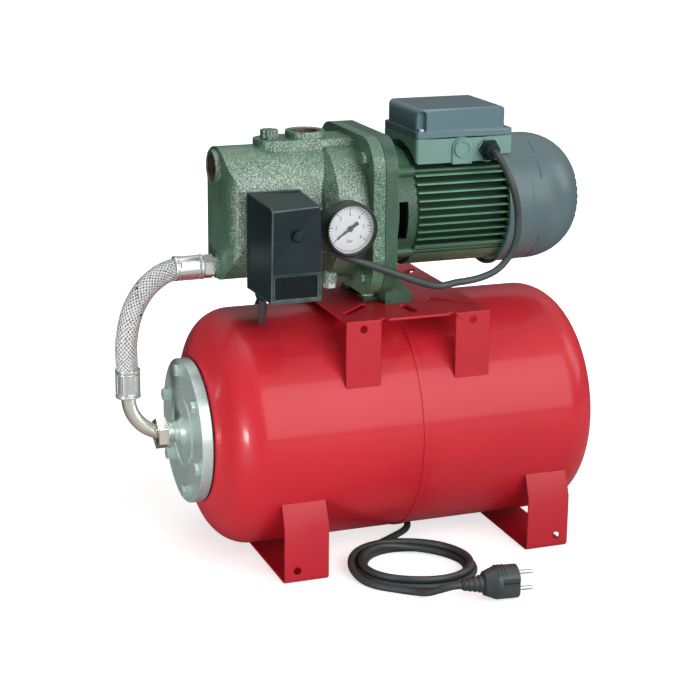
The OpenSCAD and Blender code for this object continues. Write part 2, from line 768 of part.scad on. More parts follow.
module motor_bracket() {
  window = 11;
  color("darkgreen")
    difference() {
      union() {
        along_x([bracket_x, 0, shaft_z])
          difference() {
            union() {
              linear_extrude(rim_t) joint_outline();
              cylinder(r = 66, h = frame_x - bracket_x);
              translate([0, 0, rim_t + 9]) at_tie_rods() cylinder(r = 6, h = frame_x - bracket_x - rim_t - 9);
            }
            translate([0, 0, 6]) cylinder(r = 60, h = frame_x - bracket_x - 11);
          }
        along_x([front_bearing_x - 1, 0, shaft_z]) cylinder(r = 23, h = 13);
        bracket_foot();
      }
      along_x([front_bearing_x, 0, shaft_z]) cylinder(r = bearing_r, h = 20);
      along_x([front_bearing_x - 5, 0, shaft_z]) cylinder(r = 10, h = 20);
      along_x([bracket_x - 1, 0, shaft_z]) cylinder(r = 14, h = 8);
      along_x([bracket_x - 1, 0, shaft_z]) at_joint_bolts() cylinder(r = 4, h = 12);
      along_x([bracket_x + rim_t + 17, 0, shaft_z]) at_tie_rods() cylinder(r = 2.3, h = 40);
      for (y = [-80, 45]) translate([bracket_x + rim_t + 11, y, shaft_z - 28]) cube([window, 35, 43]);
      translate([bracket_x + rim_t + 8, -30, shaft_z - 70]) cube([window + 4, 60, 20]);
    }
}

// Motor
module fin_rows() {
  for (i = [0:fin_count - 1])
    translate([0, -fin_d / 2, 41.5 - fin_pitch * i - fin_t / 2]) cube([frame_len, fin_d, fin_t]);
}
module motor_frame() {
  belly_z = -fin_pitch * (fin_count - 1) + 41.5;
  color("#2f4d3e")
    translate([frame_x, 0, shaft_z])
      difference() {
        union() {
          along_x([0, 0, 0]) cylinder(d = core_d, h = frame_len);
          intersection() {
            fin_rows();
            along_x([0, 0, 0]) cylinder(d = fin_d, h = frame_len);
          }
          intersection() {
            translate([0, -fin_d, belly_z - fin_d]) cube([frame_len, 2 * fin_d, fin_d]);
            along_x([0, 0, 0]) cylinder(d = fin_d - 3, h = frame_len);
          }
          intersection() {
            translate([14, -30, 0]) cube([80, 60, fin_d]);
            along_x([0, 0, 0]) cylinder(r = box_seat_r, h = frame_len);
          }
        }
        along_x([-1, 0, 0]) cylinder(r = stator_r, h = frame_len + 2);
        along_x([-1, 0, 0]) at_tie_rods() cylinder(r = 3, h = frame_len + 2);
        for (y = [-1, 1]) translate([-1, y * (tie_y + 5) - 5, -tie_z - 3]) cube([frame_len + 2, 10, 6]);
      }
}
module stator() {
  color("peru")
    along_x([stator_x, 0, shaft_z]) {
      ring(stator_r, stator_r - 21.8, stator_len);
      translate([0, 0, -13]) ring(stator_r - 4, stator_r - 19, 13);
      translate([0, 0, stator_len]) ring(stator_r - 4, stator_r - 19, 11);
    }
}
module rotor_core() {
  color("silver")
    along_x([stator_x, 0, shaft_z]) ring(stator_r - 21.8 - air_gap, shaft_d / 2, stator_len);
}
module shaft() {
  color("silver") {
    along_x([bracket_x - 23, 0, shaft_z]) cylinder(r = 7, h = 54);
    along_x([bracket_x - 26, 0, shaft_z]) hexagon(17, 5);
    along_x([bracket_x + 30, 0, shaft_z]) cylinder(d = shaft_d, h = frame_end + 15 - bracket_x - 30);
    along_x([frame_end + 15, 0, shaft_z]) cylinder(r = 6, h = fan_x + 30 - frame_end - 15);
  }
}
module bearings() {
  color("gray")
    for (x = [front_bearing_x, frame_end]) along_x([x, 0, shaft_z]) ring(bearing_r, shaft_d / 2 + run_gap, bearing_w);
}
module rear_shield() {
  seat_r = cover_d / 2 - 1.8;
  color("#2f4d3e")
    along_x([frame_end, 0, shaft_z])
      difference() {
        union() {
          ring(seat_r, 60, shield_t);
          translate([0, 0, 5]) cylinder(r = 62, h = 4);
          cylinder(r = 23, h = 13);
        }
        translate([0, 0, -1]) cylinder(r = bearing_r, h = 12);
        cylinder(r = 9, h = 20);
        translate([0, 0, -1]) at_tie_rods() cylinder(r = 2.3, h = 20);
      }
}
module tie_rods() {
  start = bracket_x + rim_t + 18;
  color("gainsboro")
    along_x([start, 0, shaft_z]) at_tie_rods() {
      cylinder(r = 2.3, h = frame_end + 15 - start);
      translate([0, 0, frame_end + shield_t - start]) ring(4.2, 2.3, 3.5);
    }
}
module fan() {
  color("dimgray")
    along_x([fan_x, 0, shaft_z])
      difference() {
        union() {
          cylinder(r = fan_r, h = 2.5);
          cylinder(r = 13, h = 28);
          for (i = [0:fan_blades - 1]) rotate([0, 0, 360 * i / fan_blades])
            translate([10, -1.2, 1]) cube([fan_r - 12, 2.4, 25]);
        }
        translate([0, 0, -1]) cylinder(r = 6, h = 40);
      }
}
module cover_outline(t) {
  r = cover_d / 2 - t;
  flat = 21;
  deep = 60 - t;
  steps = 12;
  end = cover_len - t;
  polygon(concat([[0, t > 0 ? -1 : 0], [r + cover_flare, t > 0 ? -1 : 0], [r + cover_flare, 2.5], [r, 8],
    [r, 31], [r - 0.8, 31.5]],
    [for (i = [0:steps]) let (a = 90 * i / steps)
      [flat + (r - 0.8 - flat) * cos(a), end - deep + deep * sin(a)]],
    [[0, end]]));
}
module fan_cover() {
  color("#3a4247")
    difference() {
      along_x([cover_x, 0, shaft_z])
        rotate_extrude()
          difference() {
            cover_outline(0);
            cover_outline(1.8);
          }
      intersection() {
        translate([cover_end - 30, 0, shaft_z])
          for (i = [-5:5]) translate([0, -60, 8 * i - 2]) cube([60, 120, 4]);
        along_x([cover_end - 30, 0, shaft_z])
          difference() {
            cylinder(r = 50, h = 60);
            for (i = [0:3]) rotate([0, 0, 45 + 90 * i]) translate([-60, -1.5, -1]) cube([120, 3, 70]);
          }
      }
    }
}

// Terminal box on the motor
module rounded_plan(size, r) {
  translate([r, 0]) square([size[0] - 2 * r, size[1]]);
  translate([0, r]) square([size[0], size[1] - 2 * r]);
  for (x = [r, size[0] - r]) for (y = [r, size[1] - r]) translate([x, y]) circle(r);
}
module over_motor(r) {
  along_x([frame_x - 20, 0, shaft_z]) cylinder(r = r, h = box_len + 40);
}
lid_screw_at = [[lid_from[0] + 6.5, lid_from[1] + 3.4], lid_from + lid_size - [9, 3.4]];
module terminal_box() {
  width = box_y[1] - box_y[0];
  wall = 3;
  color("#37463f")
    difference() {
      union() {
        difference() {
          union() {
            translate([box_x, box_y[0], box_z]) linear_extrude(box_top - box_z) rounded_plan([box_len, width], 4);
            // Seats of the blank plug and of the cable gland
            along_y(blank_at) cylinder(r = 12, h = 4);
            translate([blank_at[0] - 12, blank_at[1], box_z + 1.5]) cube([24, 4, blank_at[2] - box_z - 1.5]);
            along_y(gland_at) cylinder(r = 13, h = 4);
          }
          difference() {
            translate([box_x + wall, box_y[0] + wall, box_z]) cube([box_len - 2 * wall, width - 2 * wall, 60]);
            over_motor(box_seat_r + 7.2);
          }
        }
        intersection() {
          translate([0, 0, box_z]) {
            for (x = [box_x + 26, box_x + 62]) translate([x, -33, 0]) cube([6, 12, 28]);
            for (x = [box_x + 22, box_x + 68]) translate([x, 8, 0]) cube([8, 24, 34]);
            for (p = lid_screw_at) translate(p) cylinder(r = 4.8, h = box_top - box_z);
          }
          translate([box_x, box_y[0], box_z]) cube([box_len, width, 60]);
        }
      }
      over_motor(box_seat_r);
      along_x([cover_x - 0.8, 0, shaft_z]) cylinder(r = cover_d / 2 + cover_flare + 0.8, h = 60);
      along_x(capacitor_at - [4, 0, 0]) cylinder(r = capacitor_r, h = capacitor_len + 8);
      along_y([gland_at[0], gland_at[1] - 1, gland_at[2]]) cylinder(r = 6, h = 12);
      along_y([blank_at[0], blank_at[1] - 1, blank_at[2]]) cylinder(r = 6, h = 9);
      for (p = lid_screw_at) translate([p[0], p[1], box_top - 12]) cylinder(r = 1.85, h = 20);
    }
}
// A channel for a lid screw, open towards minus Y and round at its top
module lid_channel() {
  arch_z = lid_h - lid_rim_h - 2.5 - lid_channel_r;
  translate([-lid_channel_r, -8, 0]) cube([2 * lid_channel_r, 11.8, arch_z]);
  translate([0, 3.8, arch_z]) rotate([90, 0, 0]) cylinder(r = lid_channel_r, h = 11.8);
}
module terminal_lid() {
  length = lid_size[0];
  width = lid_size[1];
  color("#2c3844")
    difference() {
      union() {
        translate([box_x, box_y[0], lid_z]) linear_extrude(lid_rim_h)
          rounded_plan([box_len, box_y[1] - box_y[0]], 4);
        translate([lid_from[0], lid_from[1], lid_z])
          intersection() {
            linear_extrude(lid_h) rounded_plan([length, width], lid_corner);
            translate([0, width, -20]) rotate([90, 0, 0]) linear_extrude(width)
              rounded_plan([length, lid_h + 20], lid_corner);
          }
      }
      difference() {
        translate([lid_from[0] + lid_wall, lid_from[1] + lid_wall, lid_z - 1]) linear_extrude(lid_h - 3.5)
          rounded_plan([length - 2 * lid_wall, width - 2 * lid_wall], lid_corner - lid_wall);
        translate([lid_screw_at[0][0] - 8, lid_from[1], lid_z - 2]) cube([16, 9.5, lid_h]);
        translate([lid_screw_at[1][0] - 8, lid_from[1] + width - 9.5, lid_z - 2]) cube([16, 9.5, lid_h]);
      }
      for (i = [0, 1]) translate([lid_screw_at[i][0], lid_screw_at[i][1], lid_z + lid_rim_h]) {
        rotate([0, 0, 180 * i]) lid_channel();
        translate([0, 0, -10]) cylinder(r = 2.1, h = 20);
      }
    }
}
module lid_screws() {
  color("gainsboro")
    for (p = lid_screw_at) translate([p[0], p[1], lid_z + lid_rim_h]) {
      cylinder(r = 3.4, h = 3);
      translate([0, 0, -17]) cylinder(r = 1.8, h = 17);
    }
}
module capacitor() {
  color("whitesmoke")
    along_x(capacitor_at) cylinder(r = capacitor_r, h = capacitor_len);
}
module terminal_block() {
  color("ivory")
    translate([box_x + 22, -36, box_z + 28])
      difference() {
        cube([50, 18, 12]);
        for (i = [0:3]) translate([8 + 11.3 * i, 9, 5]) cylinder(r = 3, h = 10);
      }
}
module gland(thread) {
  hexagon(22, 5);
  translate([0, 0, 5]) cylinder(r1 = 10.6, r2 = 8, h = 9);
  translate([0, 0, -thread]) cylinder(r = 6, h = thread);
}
module cable_gland() {
  color("#1c1c1c") against_y(gland_at) gland(8);
}
module blank_plug() {
  color("#1c1c1c")
    against_y(blank_at) {
      difference() {
        cylinder(r1 = 10.6, r2 = 10, h = 2.5);
        translate([0, 0, 1]) cylinder(r1 = 7, r2 = 8, h = 2);
      }
      translate([0, 0, -7]) cylinder(r = 6, h = 7);
    }
}

// Pressure switch
stud_at = [switch_x + 0.4, switch_z + 19.6];
spring_at = [[switch_x - 4, switch_z - 4], [switch_x + 14, switch_z - 10]];
module switch_base() {
  left = switch_x - switch_w / 2;
  right = switch_x + switch_w / 2;
  bottom = switch_z - switch_h / 2;
  color("#3a3c3e")
    difference() {
      union() {
        translate([left - switch_draft, switch_back, bottom - switch_drop])
          cube([switch_w + 2 * switch_draft, switch_base_t, switch_h + switch_drop + switch_rise]);
        against_y([switch_x + 1.5, switch_boss_y + 11, switch_z + 14]) cylinder(r = 6.5, h = 12);
        // Shelves that carry the two cord glands
        translate([switch_x - 25, switch_back - 22, bottom + 2.6]) cube([34, 24, 2.4]);
        translate([right - 5, switch_back - 22, bottom + 5]) cube([2.4, 24, 18]);
        // Studs of the cover and of the two springs
        against_y([stud_at[0], switch_back + 2, stud_at[1]]) cylinder(r = 2, h = switch_depth + 5);
        for (p = spring_at) against_y([p[0], switch_back + 2, p[1]]) cylinder(r = 2, h = 54);
        // Contact block
        translate([switch_x - 22, switch_back - 26, switch_z + 28]) cube([44, 28, 15]);
        // Ears of the contact lever
        for (x = [switch_x - 23, switch_x + 21]) translate([x, switch_back - 15, switch_z - 38])
          cube([2.5, 17, 9]);
      }
      along_x([switch_x - 30, switch_back - 11, switch_z - 33]) cylinder(r = 2.06, h = 60);
      translate([mains_gland[0], mains_gland[1], mains_gland[2]]) cylinder(r = 6, h = 10);
      along_x([right - 8, lead_gland[1], lead_gland[2]]) cylinder(r = 6, h = 10);
      for (i = [0:3]) against_y([switch_x - 16 + 10.6 * i, switch_back - 20, switch_z + 35.5]) cylinder(r = 3, h = 8);
    }
}
module switch_cover() {
  bottom = switch_z - switch_h / 2 - switch_drop;
  top = switch_z + switch_h / 2;
  left = switch_x - switch_w / 2;
  front = switch_back - cover_gap - switch_depth;
  wall = 2.2;
  slot_r = 8.8;
  lean = atan(switch_draft / switch_depth);
  rise = atan(switch_rise / switch_depth);
  color("#202122")
    difference() {
      translate([left - switch_draft, front, bottom])
        cube([switch_w + 2 * switch_draft, switch_depth, top + switch_rise - bottom]);
      // The sides and the top slope in towards the front
      translate([left, front, bottom - 1]) rotate([0, 0, lean]) translate([-20, -5, 0])
        cube([20, switch_depth + 10, 120]);
      translate([left + switch_w, front, bottom - 1]) rotate([0, 0, -lean]) translate([0, -5, 0])
        cube([20, switch_depth + 10, 120]);
      translate([left - 10, front, top]) rotate([rise, 0, 0]) translate([0, -5, 0])
        cube([switch_w + 20, switch_depth + 10, 20]);
      translate([left + wall, front + wall, bottom + wall])
        cube([switch_w - 2 * wall, switch_depth, top - bottom - 2 * wall]);
      against_y([stud_at[0], front + 5, stud_at[1]]) cylinder(r = 2.3, h = 10);
      // Slots that clear the two cord glands
      translate([mains_gland[0], mains_gland[1], bottom - 1]) cylinder(r = slot_r, h = 8);
      translate([mains_gland[0] - slot_r, mains_gland[1], bottom - 1]) cube([2 * slot_r, 20, 8]);
      along_x([lead_gland[0] - 5, lead_gland[1], lead_gland[2]]) cylinder(r = slot_r, h = 12);
      translate([lead_gland[0] - 5, lead_gland[1], lead_gland[2] - slot_r]) cube([12, 20, 2 * slot_r]);
      // Recessed bare panel on the front
      translate([left + 3, front - 1, bottom + 3.4]) cube([switch_w - 6, 1.8, 27]);
    }
}
module cover_screw() {
  front = switch_back - cover_gap - switch_depth;
  color("#202122")
    against_y([stud_at[0], front, stud_at[1]])
      difference() {
        union() {
          cylinder(r = 6, h = 4);
          translate([0, 0, 4]) cylinder(r1 = 6, r2 = 4, h = 2);
        }
        translate([0, 0, -1]) cylinder(r = 2.1, h = 4.2);
      }
}
module switch_lever() {
  color("gainsboro") {
    along_x([switch_x - 23, switch_back - 11, switch_z - 33]) cylinder(r = 2, h = 46.5);
    difference() {
      translate([switch_x - 18, switch_back - 12, switch_z - 33]) cube([40 - 3, 2, 43]);
      for (p = spring_at) along_y([p[0], switch_back - 20, p[1]]) cylinder(r = 4.5, h = 20);
    }
  }
}
module coil_spring(r, wire, length, turns) {
  steps = 12;
  tube_along([for (i = [0:turns * steps]) [r * cos(360 * i / steps), r * sin(360 * i / steps),
    wire / 2 + (length - wire) * i / (turns * steps)]], wire, [0, 0, 1], 6);
}
module switch_springs() {
  radius = [7.5, 5.5];
  color("gainsboro")
    for (i = [0, 1]) against_y([spring_at[i][0], switch_back - 12.5, spring_at[i][1]]) {
      coil_spring(radius[i], 1.8, 32, 5);
      translate([0, 0, 31.2]) ring(radius[i] + 1.2, 2, 2.3);
      translate([0, 0, 33.5])
        difference() {
          hexagon(9, 4);
          translate([0, 0, -1]) cylinder(r = 2, h = 6);
        }
    }
}
module switch_glands() {
  color("#1c1c1c") {
    translate([mains_gland[0], mains_gland[1], mains_gland[2] + 2.6]) mirror([0, 0, 1]) switch_gland();
    along_x([lead_gland[0] - 2.6, lead_gland[1], lead_gland[2]]) switch_gland();
  }
}
module switch_gland() {
  cylinder(r = 8.2, h = 9);
  translate([0, 0, 9]) cylinder(r1 = 8.2, r2 = 6.2, h = 5.6);
  translate([0, 0, -4]) cylinder(r = 6, h = 4);
}

// Pressure gauge
module at_gauge(depth) {
  against_y([gauge_at[0], gauge_at[1] - depth, gauge_at[2]]) children();
}
module gauge_case() {
  r = gauge_d / 2;
  color("#1c1c1c") {
    at_gauge(0)
      difference() {
        union() {
          cylinder(r = r, h = gauge_t - 1.5);
          translate([0, 0, gauge_t - 1.5]) cylinder(r1 = r, r2 = r - 1.5, h = 1.5);
        }
        translate([0, 0, 6]) cylinder(r = r - 2.2, h = gauge_t);
      }
    at_gauge(-9) hexagon(14, 9.5);
    at_gauge(-20) cylinder(r = 5, h = 12);
  }
}
module gauge_dial() {
  color("white")
    at_gauge(6)
      difference() {
        cylinder(r = gauge_d / 2 - 2.2, h = 5);
        translate([0, 0, -1]) cylinder(r = 1.2, h = 8);
      }
}
module gauge_needle() {
  color("black")
    at_gauge(12)
      rotate([0, 0, 215]) {
        cylinder(r = 2.6, h = 1.2);
        translate([0, -0.6, 0]) cube([19, 1.2, 0.8]);
        translate([-8, -1, 0]) cube([8, 2, 0.8]);
        translate([0, 0, -3]) cylinder(r = 1.12, h = 3.5);
      }
}
module gauge_lens() {
  color([0.9, 0.95, 1, 0.3]) at_gauge(gauge_t - 3.5) cylinder(r = gauge_d / 2 - 2.2, h = 1.6);
}

// Cords
module motor_lead() {
  color("#1c1c1c") tube_along(smooth(lead_route, 1), lead_d, [0.6, 0.8, 0]);
}
module mains_cord() {
  color("#1c1c1c") {
    tube_along(smooth(mains_route, 1), cord_d, [0.7, -0.14, 0.7]);
    tube_along(smooth(plug_route, 2), cord_d, [0, 0, 1]);
  }
}
module coil_outline(r) {
  for (x = [-coil_stretch / 2, coil_stretch / 2]) translate([x, 0]) circle(r);
  square([coil_stretch, 2 * r], center = true);
}
module mains_coil() {
  edge = 3;
  color("#1c1c1c")
    translate([coil_at[0], coil_at[1], 0]) rotate([0, 0, coil_turn])
      difference() {
        union() {
          linear_extrude(coil_h) coil_outline(coil_r[1] - edge);
          translate([0, 0, edge]) linear_extrude(coil_h - 2 * edge) coil_outline(coil_r[1]);
        }
        translate([0, 0, -1]) linear_extrude(coil_h + 2) coil_outline(coil_r[0]);
      }
}
module plug_body() {
  grip_len = 14;
  disc_len = 24;
  color("#1c1c1c")
    translate(plug_at) rotate([0, 0, plug_turn]) along_x([0, 0, 0])
      difference() {
        union() {
          cylinder(r1 = 13, r2 = plug_d / 2, h = grip_len);
          translate([0, 0, grip_len]) cylinder(d = plug_d, h = disc_len);
          translate([0, 0, -relief_len]) cylinder(r1 = cord_d / 2 + 1.2, r2 = 9, h = relief_len);
          for (i = [0:3]) translate([0, 0, 2 - relief_len + 5.5 * i]) cylinder(r = 6.4 + 1.1 * i, h = 3);
        }
        for (side = [-1, 1]) translate([-plug_d, side * (plug_d / 2 + 2.5) - 5, grip_len + 4])
          cube([2 * plug_d, 10, 2 * disc_len]);
      }
}
module plug_pins() {
  color("gainsboro")
    translate(plug_at) rotate([0, 0, plug_turn])
      for (z = [-pin_gap / 2, pin_gap / 2]) along_x([38, 0, z]) {
        cylinder(r = 2.4, h = 18);
        translate([0, 0, 18]) cylinder(r1 = 2.4, r2 = 1.6, h = 1);
      }
}

tank_left_shell();
tank_right_shell();
tank_seam_weld();
neck_ring();
bladder();
counter_flange();
flange_bolts();
air_valve();
valve_cap();
foot_left();
foot_right();
pump_plate();
foot_bolts();
elbow_pipe();
union_nut();
hose_ferrules();
braided_hose();
hose_nipple();
pump_body();
priming_plug();
drain_plug();
body_bolts();
ejector();
diffuser();
impeller();
body_gasket();
seal_seat();
seal_ring();
motor_bracket();
motor_frame();
stator();
rotor_core();
shaft();
bearings();
rear_shield();
tie_rods();
fan();
fan_cover();
terminal_box();
terminal_lid();
lid_screws();
capacitor();
terminal_block();
cable_gland();
blank_plug();
switch_base();
switch_cover();
cover_screw();
switch_lever();
switch_springs();
switch_glands();
gauge_case();
gauge_dial();
gauge_needle();
gauge_lens();
motor_lead();
mains_cord();
mains_coil();
plug_body();
plug_pins();
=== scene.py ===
"""Looks of the water booster set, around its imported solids. Metres, in the solids' own frame."""

import json
import math

import bmesh
import bpy
from mathutils import Matrix, Vector

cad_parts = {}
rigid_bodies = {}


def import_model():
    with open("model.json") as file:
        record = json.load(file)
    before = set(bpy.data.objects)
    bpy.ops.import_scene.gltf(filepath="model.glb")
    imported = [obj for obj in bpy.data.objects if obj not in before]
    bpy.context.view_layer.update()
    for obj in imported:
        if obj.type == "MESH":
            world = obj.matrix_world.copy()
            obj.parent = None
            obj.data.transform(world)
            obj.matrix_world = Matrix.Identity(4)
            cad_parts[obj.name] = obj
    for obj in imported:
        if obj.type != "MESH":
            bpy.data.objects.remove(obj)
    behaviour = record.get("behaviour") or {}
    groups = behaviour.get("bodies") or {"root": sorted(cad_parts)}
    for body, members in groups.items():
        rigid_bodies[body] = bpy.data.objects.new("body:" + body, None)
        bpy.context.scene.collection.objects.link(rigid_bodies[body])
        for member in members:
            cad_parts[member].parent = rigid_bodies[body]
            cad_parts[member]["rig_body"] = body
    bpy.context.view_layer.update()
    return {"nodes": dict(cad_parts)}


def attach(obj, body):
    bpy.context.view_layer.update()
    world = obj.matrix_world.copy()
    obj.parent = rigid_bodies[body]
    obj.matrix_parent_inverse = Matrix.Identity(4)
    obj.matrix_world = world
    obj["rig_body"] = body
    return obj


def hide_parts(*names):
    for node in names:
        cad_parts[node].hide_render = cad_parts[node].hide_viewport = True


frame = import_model()
nodes = frame["nodes"]

MM = 0.001
# Heights of the motor's shaft and of the tank's axis, mm
SHAFT_Z, TANK_Z = 390.3, 145
# Turns that lay a round form's axis from front to back, and from left to right
UPRIGHT = (math.radians(90), 0, 0)
SIDEWAYS = (0, math.radians(90), 0)


# Camera

CAMERA_AT = Vector((-0.72852, -1.89364, 0.81176))
YAW, PITCH, ROLL = math.radians(20.839), math.radians(16.259), math.radians(0.593)
LENS, SENSOR = 93.854, 36


def place_camera():
    """The viewpoint of the photograph: turned to the right, looking down, with a slight roll."""
    ahead = Vector((math.sin(YAW) * math.cos(PITCH), math.cos(YAW) * math.cos(PITCH),
                    -math.sin(PITCH)))
    right = Vector((math.cos(YAW), -math.sin(YAW), 0))
    up = right.cross(ahead)
    rolled_right = math.cos(ROLL) * right + math.sin(ROLL) * up
    rolled_up = -math.sin(ROLL) * right + math.cos(ROLL) * up
    data = bpy.data.cameras.new("camera")
    data.lens = LENS
    data.sensor_width = SENSOR
    camera = bpy.data.objects.new("camera", data)
    bpy.context.scene.collection.objects.link(camera)
    turn = Matrix((rolled_right, rolled_up, -ahead)).transposed()
    camera.matrix_world = Matrix.Translation(CAMERA_AT) @ turn.to_4x4()
    bpy.context.scene.camera = camera


place_camera()


# Node helpers: each one adds a node to a tree and gives its result

def link(tree, source, target):
    tree.links.new(source, target)


def add(tree, kind, **values):
    """A node of that kind; values set its properties, or its inputs by name or number."""
    node = tree.nodes.new("ShaderNode" + kind)
    for key, value in values.items():
        if hasattr(node, key):
            setattr(node, key, value)
            continue
        by_number = key[0] == "i" and key[1:].isdigit()
        socket = node.inputs[int(key[1:]) if by_number else key.replace("_", " ")]
        if isinstance(value, bpy.types.NodeSocket):
            link(tree, value, socket)
        else:
            socket.default_value = value
    return node


def maths(tree, operation, *values):
    inputs = {"i%d" % k: value for k, value in enumerate(values)}
    return add(tree, "Math", operation=operation, **inputs).outputs[0]


def ramp(tree, value, low, high, at_low=0.0, at_high=1.0):
    """A value carried from one range to another and held at its ends."""
    return add(tree, "MapRange", i0=value, i1=low, i2=high, i3=at_low, i4=at_high).outputs[0]


def fade(tree, amount, first, second):
    """From one value to another."""
    return add(tree, "Mix", data_type="FLOAT", i0=amount, i2=first, i3=second).outputs[0]


def blend(tree, amount, first, second, mode="MIX"):
    """From one colour to another."""
    return add(tree, "Mix", data_type="RGBA", blend_type=mode, i0=amount, i6=first,
               i7=second).outputs[2]


def grey_of(tree, value):
    return add(tree, "CombineColor", i0=value, i1=value, i2=value).outputs[0]


def noise(tree, place, scale, detail=2.0, roughness=0.5):
    return add(tree, "TexNoise", Vector=place, Scale=scale, Detail=detail,
               Roughness=roughness).outputs["Fac"]


def bumped(tree, height, distance):
    return add(tree, "Bump", Strength=1.0, Distance=distance, Height=height).outputs["Normal"]


def colour(r, g, b):
    """A colour as it is seen on a screen, from 0 to 255, in linear values."""
    def linear(v):
        v /= 255
        return v / 12.92 if v <= 0.04045 else ((v + 0.055) / 1.055) ** 2.4
    return (linear(r), linear(g), linear(b), 1)


# Effects that several materials share

# What an effect puts out: label, kind of socket, and the shader's input that it feeds
LOOKS = (("Colour", "Color", "Base Color"), ("Roughness", "Float", "Roughness"),
         ("Normal", "Vector", "Normal"))


def effect(name, inputs):
    """An empty node group that takes those inputs, each (label, kind, value)."""
    tree = bpy.data.node_groups.new(name, "ShaderNodeTree")
    for label, kind, value in inputs:
        socket = tree.interface.new_socket(label, in_out="INPUT",
                                           socket_type="NodeSocket" + kind)
        socket.default_value = value
    for label, kind, _ in LOOKS:
        tree.interface.new_socket(label, in_out="OUTPUT", socket_type="NodeSocket" + kind)
    given, put = tree.nodes.new("NodeGroupInput"), tree.nodes.new("NodeGroupOutput")
    return tree, given.outputs, put.inputs


def deliver(tree, put, *sources):
    for (label, _, _), source in zip(LOOKS, sources):
        link(tree, source, put[label])


def mottled():
    """Two colours in soft clouds, with a roughness and a fine bump of the same pattern."""
    tree, given, put = effect("mottled", [
        ("Colour", "Color", (0.5, 0.5, 0.5, 1)), ("Second colour", "Color", (0.4, 0.4, 0.4, 1)),
        ("Cloud scale", "Float", 20.0), ("Grain scale", "Float", 900.0),
        ("Grain height", "Float", 0.1), ("Roughness", "Float", 0.4),
        ("Roughness change", "Float", 0.1)])
    place = add(tree, "TexCoord").outputs["Object"]
    cloud = noise(tree, place, given["Cloud scale"], 4.0, 0.6)
    grain = noise(tree, place, given["Grain scale"], 3.0, 0.7)
    tone = blend(tree, ramp(tree, cloud, 0.35, 0.65), given["Colour"], given["Second colour"])
    rough = maths(tree, "MULTIPLY_ADD", maths(tree, "SUBTRACT", cloud, 0.5),
                  given["Roughness change"], given["Roughness"])
    height = maths(tree, "MULTIPLY", grain, given["Grain height"])
    deliver(tree, put, tone, rough, bumped(tree, height, 0.0004))
    return tree


# The way that the surface faces where painted highlight and glints are strongest, and the span in
# x where they fade out into painted shade near the flange, m
LIT_SIDE = (-0.1, -0.96, 0.2)
HIGHLIGHT_FADE_SPAN = (-0.022, -0.016)


def sand_cast():
    """Cast skin under paint, with painted light where it faces the lit side: a paler sheen, bright
    glints and dark specks, fading near the flange.
    """
    tree, given, put = effect("casting", [
        ("Colour", "Color", (0.1, 0.2, 0.15, 1)), ("Fleck colour", "Color", (0.4, 0.5, 0.45, 1)),
        ("Grain scale", "Float", 500.0), ("Glints", "Float", 0.5), ("Height", "Float", 1.0)])
    coordinates = add(tree, "TexCoord").outputs
    place = coordinates["Object"]
    grain = noise(tree, place, given["Grain scale"], 1.0)
    lumps = noise(tree, place, 45.0, 3.0)
    patches = noise(tree, place, 16.0, 3.0)
    facing = add(tree, "VectorMath", operation="DOT_PRODUCT", i0=coordinates["Normal"],
                 i1=LIT_SIDE).outputs["Value"]
    along = add(tree, "SeparateXYZ", Vector=place).outputs[0]
    # Painted highlight: where the surface faces the lit side, in patches, less near the flange
    lit_facing = maths(tree, "SUBTRACT", maths(tree, "ADD", facing, patches),
                   ramp(tree, along, *HIGHLIGHT_FADE_SPAN, 0.0, 0.42))
    zone = ramp(tree, lit_facing, 0.85, 1.45, 0.22, 1.0)
    # Dark specks of painted glitter, deepest where the highlight is painted
    glitter_dark_specks = fade(tree, zone, 1.0, ramp(tree, grain, 0.36, 0.47, 0.38, 1.0))
    shade = maths(tree, "MULTIPLY", ramp(tree, lumps, 0.3, 0.7, 0.82, 1.14), glitter_dark_specks)
    # Painted sheen: the paint turns paler where the highlight is painted
    painted_sheen = maths(tree, "MULTIPLY", ramp(tree, zone, 0.5, 1.0, 0.0, 0.3), given["Glints"])
    ground = blend(tree, painted_sheen, given["Colour"], given["Fleck colour"])
    ground = blend(tree, 1.0, ground, grey_of(tree, shade), "MULTIPLY")
    # Painted glints: bright grains where the highlight is painted
    peaks = maths(tree, "MULTIPLY", ramp(tree, grain, 0.56, 0.64), given["Glints"])
    glinting = blend(tree, maths(tree, "MULTIPLY", peaks, zone), ground, given["Fleck colour"])
    rough = ramp(tree, grain, 0.35, 0.65, 0.42, 0.24)
    height = maths(tree, "MULTIPLY", maths(tree, "MULTIPLY_ADD", lumps, 2.2, grain),
                   given["Height"])
    deliver(tree, put, glinting, rough, bumped(tree, height, 0.0008))
    return tree


# Wires side by side in a band, number that the first band gets, and which bands are tracers
WIRES_PER_BAND, FIRST_BAND = 5, 400.0
TRACER_EVERY, TRACER_AT = 18.0, 4.0


